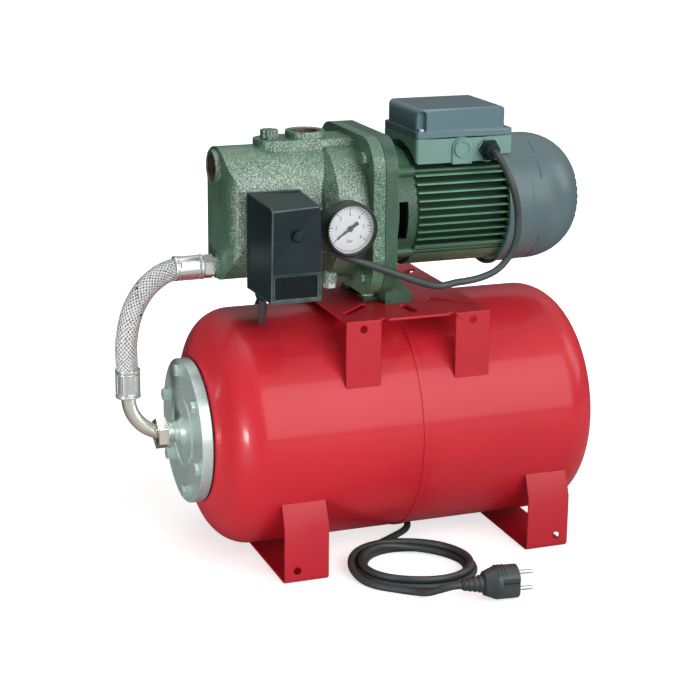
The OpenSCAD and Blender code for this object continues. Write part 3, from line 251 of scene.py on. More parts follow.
def woven():
    """Wire bands that cross over and under each other; the map runs along a hose, then around."""
    tree, given, put = effect("woven", [
        ("Bands", "Float", 24.0), ("Slant", "Float", 50.0), ("Wire", "Color", (0.8, 0.8, 0.8, 1)),
        ("Gap", "Color", (0.02, 0.02, 0.02, 1)), ("Tracer", "Color", (0.05, 0.1, 0.4, 1))])
    coordinates = add(tree, "TexCoord").outputs
    place = coordinates["Object"]
    length, turn, _ = add(tree, "SeparateXYZ", Vector=coordinates["UV"]).outputs
    around = maths(tree, "MULTIPLY", turn, given["Bands"])
    along = maths(tree, "MULTIPLY", length, given["Slant"])

    def band(operation):
        """Number of the band of that slant, place across it from 0 to 1, and its rounding."""
        at = maths(tree, "ADD", maths(tree, operation, around, along), FIRST_BAND)
        across = maths(tree, "FRACT", at)
        arch = maths(tree, "SINE", maths(tree, "MULTIPLY", across, math.pi))
        return maths(tree, "FLOOR", at), across, arch

    first, first_across, first_arch = band("ADD")
    second, second_across, second_arch = band("SUBTRACT")
    pairs = maths(tree, "MULTIPLY", maths(tree, "ADD", first, second), 0.5)
    over = maths(tree, "GREATER_THAN", maths(tree, "FRACT", pairs), 0.25)
    across = fade(tree, over, first_across, second_across)
    arch = fade(tree, over, first_arch, second_arch)
    crown = fade(tree, over, second_arch, first_arch)
    wires = maths(tree, "MULTIPLY", across, WIRES_PER_BAND * math.pi)
    wires = maths(tree, "ABSOLUTE", maths(tree, "SINE", wires))
    stray = noise(tree, place, 420.0, 3.0, 0.7)
    cover = maths(tree, "MULTIPLY", maths(tree, "MULTIPLY_ADD", crown, 0.9, arch), stray)
    # Dark gaps where the bands part, and painted shade in the grooves between the wires
    shown_and_shaded = maths(tree, "MULTIPLY", ramp(tree, cover, 0.39, 0.5),
                  ramp(tree, wires, 0.0, 0.6, 0.72, 1.0))
    tracer = maths(tree, "COMPARE", maths(tree, "MODULO", first, TRACER_EVERY), TRACER_AT, 0.4)
    peeping = ramp(tree, noise(tree, place, 60.0), 0.47, 0.55)
    marked = maths(tree, "MULTIPLY", fade(tree, over, tracer, 0.0), peeping)
    thread = blend(tree, marked, given["Wire"], given["Tracer"])
    tone = blend(tree, shown_and_shaded, given["Gap"], thread)
    rough = ramp(tree, shown_and_shaded, 0.0, 1.0, 0.7, 0.3)
    height = maths(tree, "MULTIPLY_ADD", wires, 0.25, maths(tree, "MULTIPLY", arch, crown))
    deliver(tree, put, tone, rough, bumped(tree, height, 0.0008))
    return tree


MOTTLED, SAND_CAST, WOVEN = mottled(), sand_cast(), woven()


# Materials

def new_material(name):
    material = bpy.data.materials.new(name)
    material.use_nodes = True
    return material, material.node_tree, material.node_tree.nodes["Principled BSDF"]


def surface(name, look_of, values, sockets):
    """A material with the looks of an effect at those values, and plain values on its shader."""
    material, tree, shader = new_material(name)
    look = tree.nodes.new("ShaderNodeGroup")
    look.node_tree = look_of
    for label, value in values.items():
        look.inputs[label].default_value = value
    for label, _, socket in LOOKS:
        link(tree, look.outputs[label], shader.inputs[socket])
    for label, value in sockets.items():
        shader.inputs[label.replace("_", " ")].default_value = value
    return material


def finish_of(name, first, second, cloud=20.0, grain=900.0, height=0.1, rough=0.4, change=0.1,
              **sockets):
    """A paint, plastic or metal in two near tones."""
    return surface(name, MOTTLED, {
        "Colour": colour(*first), "Second colour": colour(*second), "Cloud scale": cloud,
        "Grain scale": grain, "Grain height": height, "Roughness": rough,
        "Roughness change": change}, sockets)


def casting_of(name, base, glint, grain, glints, height, **sockets):
    """A painted casting, with painted glints and sheen on its lit side."""
    return surface(name, SAND_CAST, {
        "Colour": colour(*base), "Fleck colour": colour(*glint), "Grain scale": grain,
        "Glints": glints, "Height": height}, sockets)


RED = finish_of("red stoving paint", (205, 38, 51), (197, 33, 46), cloud=6, grain=260, height=0.2,
                rough=0.42, change=0.08, Specular_IOR_Level=0.25, Coat_Weight=0.24,
                Coat_Roughness=0.12)
RED_STEEL = finish_of("red sheet paint", (194, 36, 50), (186, 32, 46), cloud=9, grain=320,
                      height=0.25, rough=0.42, Specular_IOR_Level=0.35)
# Each casting's second colour is the colour of its painted glints and sheen
GREEN_CASTING = casting_of("green painted casting", (74, 122, 93), (216, 234, 220), grain=660,
                           glints=0.9, height=1.5, Coat_Weight=0.4, Coat_Roughness=0.22)
GREEN_BRACKET = casting_of("green painted bracket", (62, 98, 76), (120, 150, 130), grain=420,
                           glints=0.15, height=0.4, Specular_IOR_Level=0.35)
GREEN_BOX = finish_of("green moulded box", (116, 156, 144), (124, 164, 154), cloud=14, grain=700,
                      height=0.12, rough=0.45, Specular_IOR_Level=0.35)
SLATE = finish_of("slate moulded lid", (92, 122, 130), (98, 128, 136), cloud=10, grain=800,
                  height=0.08, rough=0.34, change=0.06, Specular_IOR_Level=0.25, Coat_Weight=0.6,
                  Coat_Roughness=0.08)
COVER_GREY = finish_of("slate moulded cover", (84, 106, 110), (92, 114, 118), cloud=8, grain=600,
                       height=0.12, rough=0.38, change=0.06)
BLACK = finish_of("black moulded plastic", (16, 34, 36), (24, 42, 44), cloud=16, height=0.12,
                  Specular_IOR_Level=0.22)
BARE_PANEL = finish_of("bare black panel", (6, 14, 16), (14, 24, 26), cloud=60, height=0.3,
                       rough=0.5, Specular_IOR_Level=0.15)
# A light grey that stands for a painted highlight on rounded black edges
EDGE_HIGHLIGHT = finish_of("black with painted edge highlight", (96, 110, 112), (70, 84, 86), cloud=120, height=0.2,
                       rough=0.45, Specular_IOR_Level=0.3)
SHEATH = finish_of("cord sheath", (50, 61, 60), (60, 71, 70), cloud=60, grain=1500, height=0.08,
                   rough=0.42)
GAUGE_BLACK = finish_of("gauge case paint", (22, 24, 25), (30, 33, 34), height=0.08, rough=0.32)
DIAL = finish_of("white dial paint", (240, 241, 240), (232, 234, 233), cloud=30, grain=700,
                 height=0.02, rough=0.5)
ZINC = finish_of("zinc plate", (202, 220, 216), (182, 204, 198), cloud=26, grain=1100,
                 height=0.12, rough=0.3, change=0.18, Metallic=0.5)
NICKEL = finish_of("bright nickel plate", (240, 236, 226), (228, 222, 210), cloud=30, grain=1200,
                   height=0.03, rough=0.13, change=0.08, Metallic=0.92)
PRESSED = finish_of("pressed bright steel", (214, 217, 214), (196, 200, 198), cloud=40,
                    grain=1200, height=0.05, rough=0.2, Metallic=0.8)
STEEL = finish_of("ground steel", (176, 176, 176), (160, 160, 160), cloud=30, height=0.05,
                  rough=0.28, Metallic=1.0)
RUBBER = finish_of("moulded rubber", (26, 27, 28), (34, 35, 36), height=0.12, rough=0.7)
AMBER = finish_of("hydraulic plastic", (196, 160, 96), (184, 146, 84), height=0.06, rough=0.45)
LAMINATED = finish_of("stacked sheet", (120, 110, 100), (96, 88, 80), cloud=10, grain=1600,
                      height=0.4, rough=0.5, Metallic=0.8)
WHITE_PLASTIC = finish_of("white plastic", (225, 224, 216), (214, 212, 202), height=0.05,
                          rough=0.45)
# Dark print, and dark bars of painted shade that stand for slots and slits
PRINT_AND_SLOT_SHADE = finish_of("print and painted slot shade", (20, 20, 22), (30, 30, 32), cloud=40, height=0.02, rough=0.5)
BARE_IRON = finish_of("machined iron", (116, 96, 76), (84, 70, 54), cloud=60, height=0.2,
                      rough=0.35, change=0.15, Metallic=0.7)
CERAMIC = finish_of("ceramic", (232, 230, 220), (222, 218, 208), height=0.02, rough=0.2)
BRAID = surface("braided wire", WOVEN, {
    "Bands": 18.0, "Slant": 40.0, "Wire": colour(246, 247, 248), "Gap": colour(26, 29, 31),
    "Tracer": colour(44, 84, 150)}, {"Metallic": 0.35})

# Distances from the shaft at the foot of the fins and at their tips, m
FIN_FOOT, FIN_DULL_TO, FIN_TIP = 0.0605, 0.0695, 0.0705


def motor_paint():
    """Green paint with painted shade that darkens it towards the motor's axis, between the fins,
    and a painted highlight on the fin tips; it also dulls towards the axis.
    """
    material = finish_of("green motor paint", (76, 124, 98), (68, 114, 90), cloud=18, grain=380,
                         height=0.35, rough=0.32, change=0.12)
    tree = material.node_tree
    shader, look = tree.nodes["Principled BSDF"], tree.nodes["Group"]
    place = add(tree, "TexCoord").outputs["Object"]
    across = add(tree, "Mapping", vector_type="POINT", Vector=place,
                 Location=(0, 0, -SHAFT_Z * MM), Scale=(0, 1, 1)).outputs[0]
    reach = add(tree, "VectorMath", operation="LENGTH", i0=across).outputs["Value"]
    dull = ramp(tree, reach, FIN_FOOT, FIN_DULL_TO, 0.95, 0.32)
    link(tree, dull, shader.inputs["Roughness"])
    # Painted shade, darkest at the foot of the fins, and painted highlight, brighter than the
    # paint, at their tips
    shade = grey_of(tree, ramp(tree, reach, FIN_FOOT, FIN_TIP, 0.26, 1.5))
    tone = blend(tree, 1.0, look.outputs["Colour"], shade, "MULTIPLY")
    link(tree, tone, shader.inputs["Base Color"])
    return material


def clear_lens():
    """Clear plastic with a faint haze."""
    material, tree, shader = new_material("clear lens")
    for label, value in (("Base Color", (0.98, 0.99, 1, 1)), ("IOR", 1.45),
                         ("Transmission Weight", 1.0)):
        shader.inputs[label].default_value = value
    haze = noise(tree, add(tree, "TexCoord").outputs["Object"], 40.0)
    link(tree, ramp(tree, haze, 0.3, 0.7, 0.01, 0.04), shader.inputs["Roughness"])
    return material


GREEN_MOTOR, LENS_GLASS = motor_paint(), clear_lens()

FINISHES = {
    RED: ["tank_left_shell", "tank_right_shell", "tank_seam_weld", "neck_ring"],
    RED_STEEL: ["foot_left", "foot_right", "pump_plate"],
    GREEN_CASTING: ["pump_body", "priming_plug", "body_bolts"],
    GREEN_BRACKET: ["motor_bracket", "tie_rods"],
    GREEN_MOTOR: ["motor_frame", "rear_shield"],
    GREEN_BOX: ["terminal_box", "blank_plug"],
    SLATE: ["terminal_lid"],
    COVER_GREY: ["fan_cover"],
    BLACK: ["valve_cap", "fan", "cable_gland", "switch_base", "switch_cover", "cover_screw",
            "switch_glands", "gauge_needle"],
    SHEATH: ["motor_lead", "mains_cord", "mains_coil", "plug_body"],
    GAUGE_BLACK: ["gauge_case"],
    DIAL: ["gauge_dial"],
    ZINC: ["counter_flange", "flange_bolts", "air_valve", "foot_bolts", "drain_plug", "lid_screws",
           "switch_lever", "switch_springs"],
    NICKEL: ["elbow_pipe", "union_nut"],
    PRESSED: ["hose_ferrules", "hose_nipple", "plug_pins"],
    BRAID: ["braided_hose"],
    STEEL: ["shaft", "bearings"],
    RUBBER: ["bladder", "body_gasket", "seal_ring"],
    AMBER: ["ejector", "diffuser", "impeller"],
    LAMINATED: ["stator", "rotor_core"],
    WHITE_PLASTIC: ["capacitor", "terminal_block"],
    CERAMIC: ["seal_seat"],
    LENS_GLASS: ["gauge_lens"],
}
for material, names in FINISHES.items():
    for name in names:
        slots = nodes[name].data.materials
        slots.clear()
        slots.append(material)


# Floor, light and background

FLOOR_SIZE = 12
# The floor's tone as the camera sees it and as it throws light, its tone for mirrored rays in
# front of the object and behind it, with their places in y, and its own glow near the object
FLOOR_SEEN, FLOOR_BOUNCE = 0.85, 0.5
FRONT_MIRRORED, BACK_MIRRORED, MIRROR_SPAN = 0.85, 0.12, (-0.3, 0.25)
FLOOR_GLOW, GLOW_SPAN = 0.66, (0.3, 0.9)
# Strength of the surround: plain, and as mirrored rays see it low down and high up, with how
# steeply those rays rise
AMBIENT = 0.1
LOW_MIRRORED, HIGH_MIRRORED, RISE_SPAN = 0.12, 1.1, (0.2, 0.8)
WHITE = (1, 1, 1, 1)
CENTRE = (0, 0, 0.25)
# Panels of light: place, what it points at, size, watts and spread in degrees
PANELS = {
    "key panel": ((0.7, -2.3, 1.3), CENTRE, (2.2, 2.3), 56, 180),
    "side panel": ((2.3, -0.6, 1.3), CENTRE, (0.9, 1.4), 14, 180),
    "top panel": ((-0.2, 0.3, 2.2), CENTRE, (1.6, 1.0), 7, 180),
    "low panel": ((-1.5, -0.75, 0.16), (-0.25, 0, 0.16), (0.5, 0.24), 0.55, 26),
    "back fill": ((0.9, 2.4, 0.9), CENTRE, (1.8, 1.2), 16, 180)}


def pale_stage():
    """A plain floor that is white to the camera, whitest far off, and keeps the shadow."""
    bpy.ops.object.select_all(action="DESELECT")
    bpy.ops.mesh.primitive_plane_add(size=FLOOR_SIZE, location=(0, 0, 0))
    floor = bpy.context.object
    floor.name = "floor"
    material, tree, shader = new_material("pale floor")
    path = tree.nodes.new("ShaderNodeLightPath").outputs
    place = add(tree, "TexCoord").outputs["Object"]
    depth = add(tree, "SeparateXYZ", Vector=place).outputs[1]
    mirrored = ramp(tree, depth, *MIRROR_SPAN, FRONT_MIRRORED, BACK_MIRRORED)
    unseen = fade(tree, path["Is Glossy Ray"], FLOOR_BOUNCE, mirrored)
    tone = fade(tree, path["Is Camera Ray"], unseen, FLOOR_SEEN)
    far = add(tree, "VectorMath", operation="LENGTH", i0=place).outputs["Value"]
    glow = maths(tree, "MULTIPLY", path["Is Camera Ray"],
                 ramp(tree, far, *GLOW_SPAN, FLOOR_GLOW, 1.0))
    link(tree, tone, shader.inputs["Base Color"])
    link(tree, glow, shader.inputs["Emission Strength"])
    shader.inputs["Emission Color"].default_value = WHITE
    shader.inputs["Roughness"].default_value = 0.9
    floor.data.materials.append(material)


def light_panel(name, at, towards, size, watts, spread):
    """A rectangle of light that the camera doesn't see."""
    data = bpy.data.lights.new(name, "AREA")
    data.shape = "RECTANGLE"
    data.size, data.size_y = size
    data.energy = watts
    data.spread = math.radians(spread)
    lamp = bpy.data.objects.new(name, data)
    bpy.context.scene.collection.objects.link(lamp)
    lamp.location = at
    lamp.rotation_euler = (Vector(towards) - Vector(at)).to_track_quat("-Z", "Y").to_euler()
    lamp.visible_camera = False
    return lamp


def surround():
    """A plain pale world, white to the camera and darker low down in reflections."""
    world = bpy.data.worlds.new("studio")
    bpy.context.scene.world = world
    world.use_nodes = True
    tree = world.node_tree
    sky = tree.nodes["Background"]
    path = tree.nodes.new("ShaderNodeLightPath").outputs
    seen = maths(tree, "MAXIMUM", path["Is Camera Ray"], path["Is Transmission Ray"])
    direction = add(tree, "TexCoord").outputs["Generated"]
    height = add(tree, "SeparateXYZ", Vector=direction).outputs[2]
    mirrored = ramp(tree, height, *RISE_SPAN, LOW_MIRRORED, HIGH_MIRRORED)
    unseen = fade(tree, path["Is Glossy Ray"], AMBIENT, mirrored)
    link(tree, fade(tree, seen, unseen, 1.0), sky.inputs["Strength"])
    sky.inputs["Color"].default_value = WHITE


pale_stage()
lamps = {name: light_panel(name, *values) for name, values in PANELS.items()}
lamps["back fill"].visible_glossy = False
surround()
bpy.context.scene.view_settings.view_transform = "Standard"


# Modelling by hand: what every piece is made with


def only(*pieces):
    """Nothing but these pieces is selected, and the last is the active one."""
    bpy.ops.object.select_all(action="DESELECT")
    for piece in pieces:
        piece.select_set(True)
    bpy.context.view_layer.objects.active = pieces[-1]


def modified(piece, kind, **values):
    """One modifier with those values, applied."""
    only(piece)
    step = piece.modifiers.new(kind.lower(), kind)
    for key, value in values.items():
        setattr(step, key, value)
    bpy.ops.object.modifier_apply(modifier=step.name)


def shaded(piece, angle=35):
    """Smooth over gentle angles, with flat faces kept flat."""
    only(piece)
    bpy.ops.object.shade_smooth_by_angle(angle=math.radians(angle))
    modified(piece, "WEIGHTED_NORMAL", keep_sharp=True)


def copy_of(name):
    """A clean copy of a node's shape, riding where the node rides and standing for it."""
    piece = bpy.data.objects.new(name + "_finished", nodes[name].data.copy())
    bpy.context.scene.collection.objects.link(piece)
    only(piece)
    bpy.ops.mesh.customdata_custom_splitnormals_clear()
    bpy.ops.object.mode_set(mode="EDIT")
    bpy.ops.mesh.select_all(action="SELECT")
    bpy.ops.mesh.remove_doubles(threshold=1e-5)
    bpy.ops.object.mode_set(mode="OBJECT")
    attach(piece, nodes[name]["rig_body"])
    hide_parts(name)
    return piece


def softened(name, width):
    """A node's shape with its edges rounded by that width, in mm."""
    piece = copy_of(name)
    modified(piece, "BEVEL", width=width * MM, segments=2, limit_method="ANGLE",
             angle_limit=math.radians(30), use_clamp_overlap=False, loop_slide=False)
    shaded(piece)
    return piece


def primitive(kind, name, **values):
    """A new primitive by itself in the selection."""
    bpy.ops.object.select_all(action="DESELECT")
    getattr(bpy.ops.mesh, "primitive_" + kind + "_add")(**values)
    piece = bpy.context.object
    piece.name = piece.data.name = name
    return piece


def placed(piece):
    """Its place, turn and size go into its mesh."""
    only(piece)
    bpy.ops.object.transform_apply(location=True, rotation=True, scale=True)


def block(name, at, size, edge=None, **values):
    """A small block round that place, with those sides and rounded edges, in mm."""
    piece = primitive("cube", name, size=MM, location=Vector(at) * MM, scale=size, **values)
    placed(piece)
    if edge:
        modified(piece, "BEVEL", width=edge * MM, segments=1)
    return piece


def ring(name, at, radius, thickness, segments, turn):
    """A round ring about that place: its radius and half its thickness in mm."""
    around, across = segments
    piece = primitive("torus", name, major_radius=radius * MM, minor_radius=thickness * MM,
                      major_segments=around, minor_segments=across, location=Vector(at) * MM,
                      rotation=turn)
    placed(piece)
    return piece


def pick(piece, test):
    """In edit mode, only the faces whose centre, in mm, and normal pass the test are selected."""
    bpy.ops.mesh.select_mode(type="FACE")
    bpy.ops.mesh.select_all(action="DESELECT")
    form = bmesh.from_edit_mesh(piece.data)
    for face in form.faces:
        if test(face.calc_center_median() / MM, face.normal):
            face.select_set(True)
    bmesh.update_edit_mesh(piece.data)


def flattened(piece, place, out):
    """A round ring cut flat at that place, in mm, on the side that faces out."""
    only(piece)
    bpy.ops.object.mode_set(mode="EDIT")
    bpy.ops.mesh.select_mode(type="EDGE")
    bpy.ops.mesh.select_all(action="SELECT")
    bpy.ops.mesh.bisect(plane_co=Vector(place) * MM, plane_no=out, clear_outer=True,
                        threshold=1e-6)
    bpy.ops.mesh.select_all(action="DESELECT")
    bpy.ops.mesh.select_non_manifold()
    bpy.ops.mesh.bridge_edge_loops()
    bpy.ops.mesh.select_all(action="SELECT")
    bpy.ops.mesh.normals_make_consistent(inside=False)
    bpy.ops.object.mode_set(mode="OBJECT")


def moved(x=0, y=0, z=0):
    """A move by that many mm."""
    return Matrix.Translation(Vector((x, y, z)) * MM)


def turned(degrees, axis):
    """A turn about that axis."""
    return Matrix.Rotation(math.radians(degrees), 4, axis)


def another(piece, name, turn):
    """A copy with its own mesh, moved by that matrix."""
    twin = bpy.data.objects.new(name, piece.data.copy())
    bpy.context.scene.collection.objects.link(twin)
    twin.data.transform(turn)
    return twin


def joined(name, pieces):
    """One piece made of several."""
    only(*pieces)
    bpy.ops.object.join()
    piece = bpy.context.object
    piece.name = piece.data.name = name
    return piece


def finished(piece, material, body="set"):
    """A piece with its one material and the body that it rides on."""
    piece.data.materials.clear()
    piece.data.materials.append(material)
    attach(piece, body)
    return piece


def ribs(name, radius, thickness, spans, stations):
    """Short ribs round the X axis, each span in degrees from the front up, at each station."""
    first = ring(name, (0, 0, 0), radius, thickness, (180, 12), SIDEWAYS)
    bpy.ops.object.mode_set(mode="EDIT")

    def between_spans(at, out):
        angle = math.degrees(math.atan2(at.z, -at.y))
        return not any(start < angle < end for start, end in spans)
    pick(first, between_spans)
    bpy.ops.mesh.delete(type="FACE")
    bpy.ops.mesh.select_all(action="SELECT")
    bpy.ops.mesh.fill_holes(sides=0)
    bpy.ops.object.mode_set(mode="OBJECT")
    pieces = [another(first, "%s_%d" % (name, k), moved(x)) for k, x in enumerate(stations)]
    bpy.data.objects.remove(first)
    piece = joined(name, pieces)
    shaded(piece, 60)
    return piece


# Cords: their routes in mm, from the exit to the far end

LEAD_ROUTE = [
    (136, -67, 456), (136, -78.5, 453), (137, -90, 446), (140, -99, 434.5),
    (144.5, -102.5, 420.5), (150.5, -100, 403), (154.5, -95.5, 388), (155.5, -94.5, 371),
    (153, -93, 354), (145, -92, 338.5), (132, -92, 326.5), (116, -91.5, 320), (100, -91, 317),
    (84, -90, 315.5), (62, -91, 313.5), (40, -93, 320), (17.5, -95, 329), (-8, -96, 339.5),
    (-31, -96, 348.5), (-46.5, -93.5, 354), (-59, -87.5, 359), (-71.5, -84.5, 361.5),
    (-83, -84, 362)]
MAINS_ROUTE = [
    (-141, -84, 313), (-140.5, -81, 303), (-138.5, -74, 292), (-135, -63.5, 283.5),
    (-131, -50.5, 280), (-125, -34.5, 281.5), (-117, -11, 287.5), (-109, 12, 286),
    (-103, 32, 282.5), (-97, 64, 271), (-91, 92.5, 251.5), (-85, 115.5, 226), (-79, 132, 195.5),
    (-74, 140.5, 162), (-70, 144, 128), (-66, 145, 94), (-61, 143, 60), (-54, 136, 31),
    (-42, 123, 11.5), (-25, 108, 4.8), (-3, 86, 4.2), (17, 66.5, 4.2), (36, 48.5, 4.2),
    (53, 32, 4.2), (61.5, 16, 4.2), (64, 0, 4.2), (61.5, -16, 4.2), (54.5, -30.5, 4.2),
    (43.5, -41.5, 4.2), (25, -54, 4.2), (-2, -71, 4.2), (-24, -87, 4.2), (-36.5, -103, 4.2)]
PLUG_ROUTE = [
    (-23.5, -193.5, 4.2), (-8, -208.5, 4.5), (1.5, -221, 7.5), (12, -230.5, 13.5),
    (23, -235.5, 17.5), (33.18, -238.08, 18.5)]
HOSE_ROUTE = [
    (-192.5, 0, 333.5), (-205.1, 0, 333.5), (-217, 0, 332.5), (-229, 0, 328.5), (-240, 0, 321.5),
    (-250, 0, 312), (-258, 0, 300.5), (-264.5, 0, 287), (-269, 0, 271), (-271.5, 0, 255),
    (-272, 0, 240), (-271.5, 0, 227), (-271.3, 0, 213.5), (-271, 0, 200)]
CORD_D, LEAD_D, HOSE_D = 8.2, 8.0, 24.6
# The coil's middle on the floor, its turn, how far it is stretched, and how soon the ends round
COIL_AT, COIL_TURN = Vector((19, -144.7)), math.radians(-22.7)
COIL_STRETCH, COIL_ROUNDING = 9.3, 2.2
# Stations of the coil: turns from its right end, distance from its middle line, height
COIL_TRACK = [
    (0.404, 64.2, 4.2), (0.454, 60.5, 4.2), (0.56, 56, 4.2), (1.28, 56, 4.2), (1.56, 47.5, 4.2),
    (2.12, 47.5, 4.2), (2.25, 48.6, 7.2), (2.36, 50.8, 12), (2.45, 51.6, 12.5),
    (2.58, 51.8, 11.4), (3.12, 51.8, 11.4), (3.24, 54.2, 12.3), (3.34, 59.4, 11.9),
    (3.42, 61.4, 12.4), (3.48, 62.9, 11.6), (3.56, 64.4, 7.6), (3.64, 64.6, 4.2),
    (3.705, 64.4, 4.2)]
COIL_POINTS = 72
STEPS = 4


def centreline(route):
    """A smooth line through the route's points, in a few steps from each to the next."""
    points = [Vector(p) * MM for p in route]
    line = []
    for i in range(len(points) - 1):
        a, b = points[max(i - 1, 0)], points[i]
        c, d = points[i + 1], points[min(i + 2, len(points) - 1)]
        for step in range(STEPS):
            t = step / STEPS
            line.append(0.5 * (2 * b + (c - a) * t + (2 * a - 5 * b + 4 * c - d) * t * t
                               + (3 * b - a - 3 * c + d) * t ** 3))
    return line + [points[-1]]


def through(places, values, at):
    """A smooth value between stations that never swings past them."""
    steps = [b - a for a, b in zip(places, places[1:])]
    slopes = [(b - a) / h for a, b, h in zip(values, values[1:], steps)]
    lean = [slopes[0]]
    for i in range(1, len(slopes)):
        before, after = slopes[i - 1], slopes[i]
        if before * after <= 0:
            lean.append(0.0)
            continue
        w, v = 2 * steps[i] + steps[i - 1], steps[i] + 2 * steps[i - 1]
        lean.append((w + v) / (w / before + v / after))
    lean.append(slopes[-1])
    i = max(k for k in range(len(steps)) if places[k] <= at + 1e-9)
    t = (at - places[i]) / steps[i]
    return ((2 * t ** 3 - 3 * t ** 2 + 1) * values[i]
            + (t ** 3 - 2 * t ** 2 + t) * steps[i] * lean[i]
            + (3 * t ** 2 - 2 * t ** 3) * values[i + 1]
            + (t ** 3 - t ** 2) * steps[i] * lean[i + 1])


def coil_turns():
    """Three oval turns: outside and inside on the floor, and one on top between them."""
    turns, radii, heights = zip(*COIL_TRACK)
    cos, sin = math.cos(COIL_TURN), math.sin(COIL_TURN)
    points = []
    for k in range(COIL_POINTS):
        at = turns[0] + (turns[-1] - turns[0]) * k / (COIL_POINTS - 1)
        angle, radius = 2 * math.pi * at, through(turns, radii, at)
        ends = math.tanh(COIL_ROUNDING * math.cos(angle)) / math.tanh(COIL_ROUNDING)
        x = radius * math.cos(angle) + COIL_STRETCH * ends
        y = radius * math.sin(angle)
        points.append((COIL_AT.x + x * cos - y * sin, COIL_AT.y + x * sin + y * cos,
                       through(turns, heights, at)))
    return points


def tube(name, line, diameter, material, roundness=4):
    """A round cord on one open spline."""
    data = bpy.data.curves.new(name, "CURVE")
    data.dimensions = "3D"
    # The thickness is in the points, because a curve's box counts their radius
    data.bevel_depth = 1
    data.bevel_resolution = roundness
    data.use_fill_caps = True
    spline = data.splines.new("POLY")
    spline.points.add(len(line) - 1)
    for point, place in zip(spline.points, line):
        point.co = (*place, 1)
        point.radius = diameter / 2
    spline.use_smooth = True
    piece = bpy.data.objects.new(name, data)
    bpy.context.scene.collection.objects.link(piece)
    piece.data.materials.append(material)
    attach(piece, "set")
    return piece


# The plug's middle and its turn. In its own frame: the grip ribs, and the side slits, drawn as
# dark bars of painted shade
PLUG_PLACE = moved(57, -241, 18.5) @ turned(-7, "Z")
GRIPS = {"radius": 18.3, "thickness": 0.9, "spans": [(40, 140)], "stations": [14.5, 18.5, 22.5]}
SLIT_AT, SLIT_SIZE = (28, 16, 4), (19, 0.5, 2.4)


def plug_details():
    """Grip ribs of the moulded plug, and its side slits as dark bars of painted shade."""
    grips = ribs("plug_grips", **GRIPS)
    grips.data.transform(PLUG_PLACE)
    finished(grips, SHEATH)
    # Dark bars of painted shade where the side slits are
    x, y, z = SLIT_AT
    slits = joined("plug_slit_shades", [block("plug_slit", (x, side * y, z), SLIT_SIZE, 0.15)
                                  for side in (-1, 1)])
    slits.data.transform(PLUG_PLACE)
    shaded(slits)
    finished(slits, PRINT_AND_SLOT_SHADE)
    return [grips, slits]


lead_line = centreline(LEAD_ROUTE)
lead = tube("motor_lead_cord", lead_line, LEAD_D * MM, SHEATH)
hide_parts("motor_lead")

plug_pieces = [softened("plug_body", 0.8), softened("plug_pins", 0.5)] + plug_details()
mains_line = centreline(MAINS_ROUTE[:-2] + coil_turns() + PLUG_ROUTE[1:])
mains = tube("mains_cord_whole", mains_line, CORD_D * MM, SHEATH)
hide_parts("mains_cord", "mains_coil")

hose_line = centreline(HOSE_ROUTE)
hose = tube("braided_hose_whole", hose_line, HOSE_D * MM, BRAID, 14)
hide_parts("braided_hose")


# Nodes whose edges are rounded, mm

SOFT_EDGES = {
    "foot_left": 0.9, "foot_right": 0.9, "pump_plate": 0.9, "counter_flange": 0.7,
    "flange_bolts": 0.5, "union_nut": 0.7, "hose_nipple": 0.5, "priming_plug": 0.6,
    "body_bolts": 0.4, "motor_frame": 0.45, "fan_cover": 0.6, "terminal_box": 0.8,
    "terminal_lid": 0.8, "lid_screws": 0.35, "cable_gland": 0.4, "blank_plug": 0.5,
    "switch_base": 0.8, "cover_screw": 0.4,
    "switch_glands": 0.5, "gauge_case": 0.5, "tie_rods": 0.4}
for name, width in SOFT_EDGES.items():
    softened(name, width)


# Gauge: printed scale, rim and pointer

GAUGE_AT = (-48.7, -103, 388.7)
# Where the scale starts after six o'clock and how far it goes round, degrees
SCALE_START, SCALE_SWEEP = 53, 254
BARS, TICKS_PER_BAR = 6, 5
# Distances from the dial's middle to the tips of the ticks, the numbers, the unit and the line
TICK_R, NUMBER_R, UNIT_BELOW, LINE_R = 24, 15.8, 13.5, 24.4
PRINT_PROUD, PRINT_DEPTH = 0.05, 0.08
# The lens ring and where its front is cut flat; the pointer's hub and hand, and the hand's ends
RIM_R, RIM_THICKNESS, RIM_Y, RIM_FLAT_Y = 26.9, 0.75, -110.6, -111.1
HUB_R, HUB_Y, HAND_Y, HAND_SIZE = 3.1, -104.6, -104.4, (2.2, 0.7, 31)
HAND_TIP, HAND_TAIL, POINTER_TURN = 20, -11, -125


def about_gauge(degrees):
    """A turn about the dial's axis."""
    return moved(*GAUGE_AT) @ turned(degrees, "Y") @ moved(*GAUGE_AT).inverted()


def scale_tick(name, reach, width):
    """A bar of the printed scale at twelve o'clock."""
    x, y, z = GAUGE_AT
    return block(name, (x, y - 0.08, z + TICK_R - reach / 2), (width, 0.3, reach))


def printed(text, size, right, up):
    """Raised print on the dial, centred that far from its middle, in mm."""
    x, y, z = GAUGE_AT
    bpy.ops.object.select_all(action="DESELECT")
    bpy.ops.object.text_add(rotation=UPRIGHT,
                            location=Vector((x + right, y - PRINT_PROUD, z + up)) * MM)
    piece = bpy.context.object
    piece.data.body = text
    piece.data.size, piece.data.extrude = size * MM, PRINT_DEPTH * MM
    piece.data.align_x, piece.data.align_y = "CENTER", "CENTER"
    bpy.ops.object.convert(target="MESH")
    placed(piece)
    return piece


